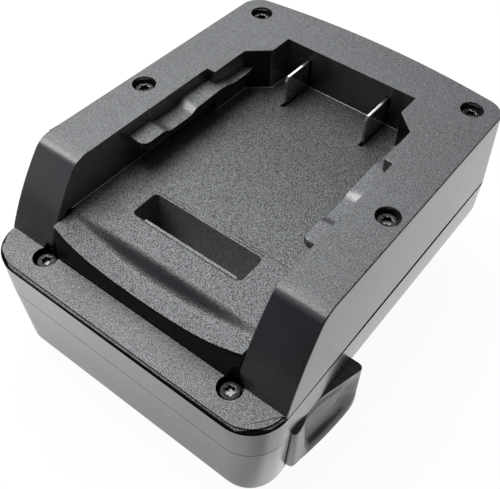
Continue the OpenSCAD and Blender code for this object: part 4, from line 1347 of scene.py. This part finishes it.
class ADAPTER_OT_studio(bpy.types.Operator):
    """Set the floor, the soft lights and the camera"""
    bl_idname = "adapter.studio"
    bl_label = "Studio"

    def execute(self, context):
        scene, studio = context.scene, context.scene.adapter_studio
        bm = bmesh.new()
        bmesh.ops.create_circle(bm, cap_ends=True, segments=96, radius=4.0)
        floor = new_object("studio_floor", bm)
        coat(floor, floor_material("floor_paint", studio.floor))
        target = Vector((0, 0, 0.03))
        key_at = target + Vector((-0.46, 0.35, 0.81)) * 0.95
        area_light("key_softbox", key_at, target, (0.75, 0.75), studio.key, studio.key_colour)
        area_light("top_panel", (-0.52, -0.12, 1.02), target, (0.55, 1.0), studio.top, (1.0, 1.0, 1.0))
        scene.world = soft_world("studio_world", studio.ambient)
        scene.camera = photo_camera("photo_camera")
        scene.view_settings.view_transform = "Standard"
        return {"FINISHED"}


class ADAPTER_PT_panel(bpy.types.Panel):
    """Lists the sizes, finishes and build steps of the adapter"""
    bl_label = "Adapter"
    bl_space_type = "VIEW_3D"
    bl_region_type = "UI"
    bl_category = "Adapter"

    def draw(self, context):
        for step in STEPS:
            self.layout.operator(step.bl_idname)
        for name, group in GROUPS.items():
            box = self.layout.box()
            for field in group.__annotations__:
                box.prop(getattr(context.scene, name), field)


GROUPS = {"adapter_casing": CasingSizes, "adapter_deck": DeckSizes, "adapter_latch": LatchSizes,
          "adapter_screws": ScrewSizes, "adapter_plastic": PlasticFinish, "adapter_studio": StudioLight}
STEPS = (ADAPTER_OT_studio, ADAPTER_OT_casing, ADAPTER_OT_deck, ADAPTER_OT_latches, ADAPTER_OT_screws,
         ADAPTER_OT_contacts, ADAPTER_OT_springs)


def register():
    for group in GROUPS.values():
        bpy.utils.register_class(group)
    for name, group in GROUPS.items():
        setattr(bpy.types.Scene, name, bpy.props.PointerProperty(type=group))
    for step in (*STEPS, ADAPTER_PT_panel):
        bpy.utils.register_class(step)


def unregister():
    for step in (*STEPS, ADAPTER_PT_panel):
        bpy.utils.unregister_class(step)
    for name, group in GROUPS.items():
        delattr(bpy.types.Scene, name)
        bpy.utils.unregister_class(group)


def main():
    register()
    bpy.ops.adapter.studio()
    bpy.ops.adapter.casing()
    bpy.ops.adapter.deck()
    bpy.ops.adapter.latches()
    bpy.ops.adapter.screws()
    bpy.ops.adapter.contacts()
    bpy.ops.adapter.springs()


if __name__ == "__main__":
    main()
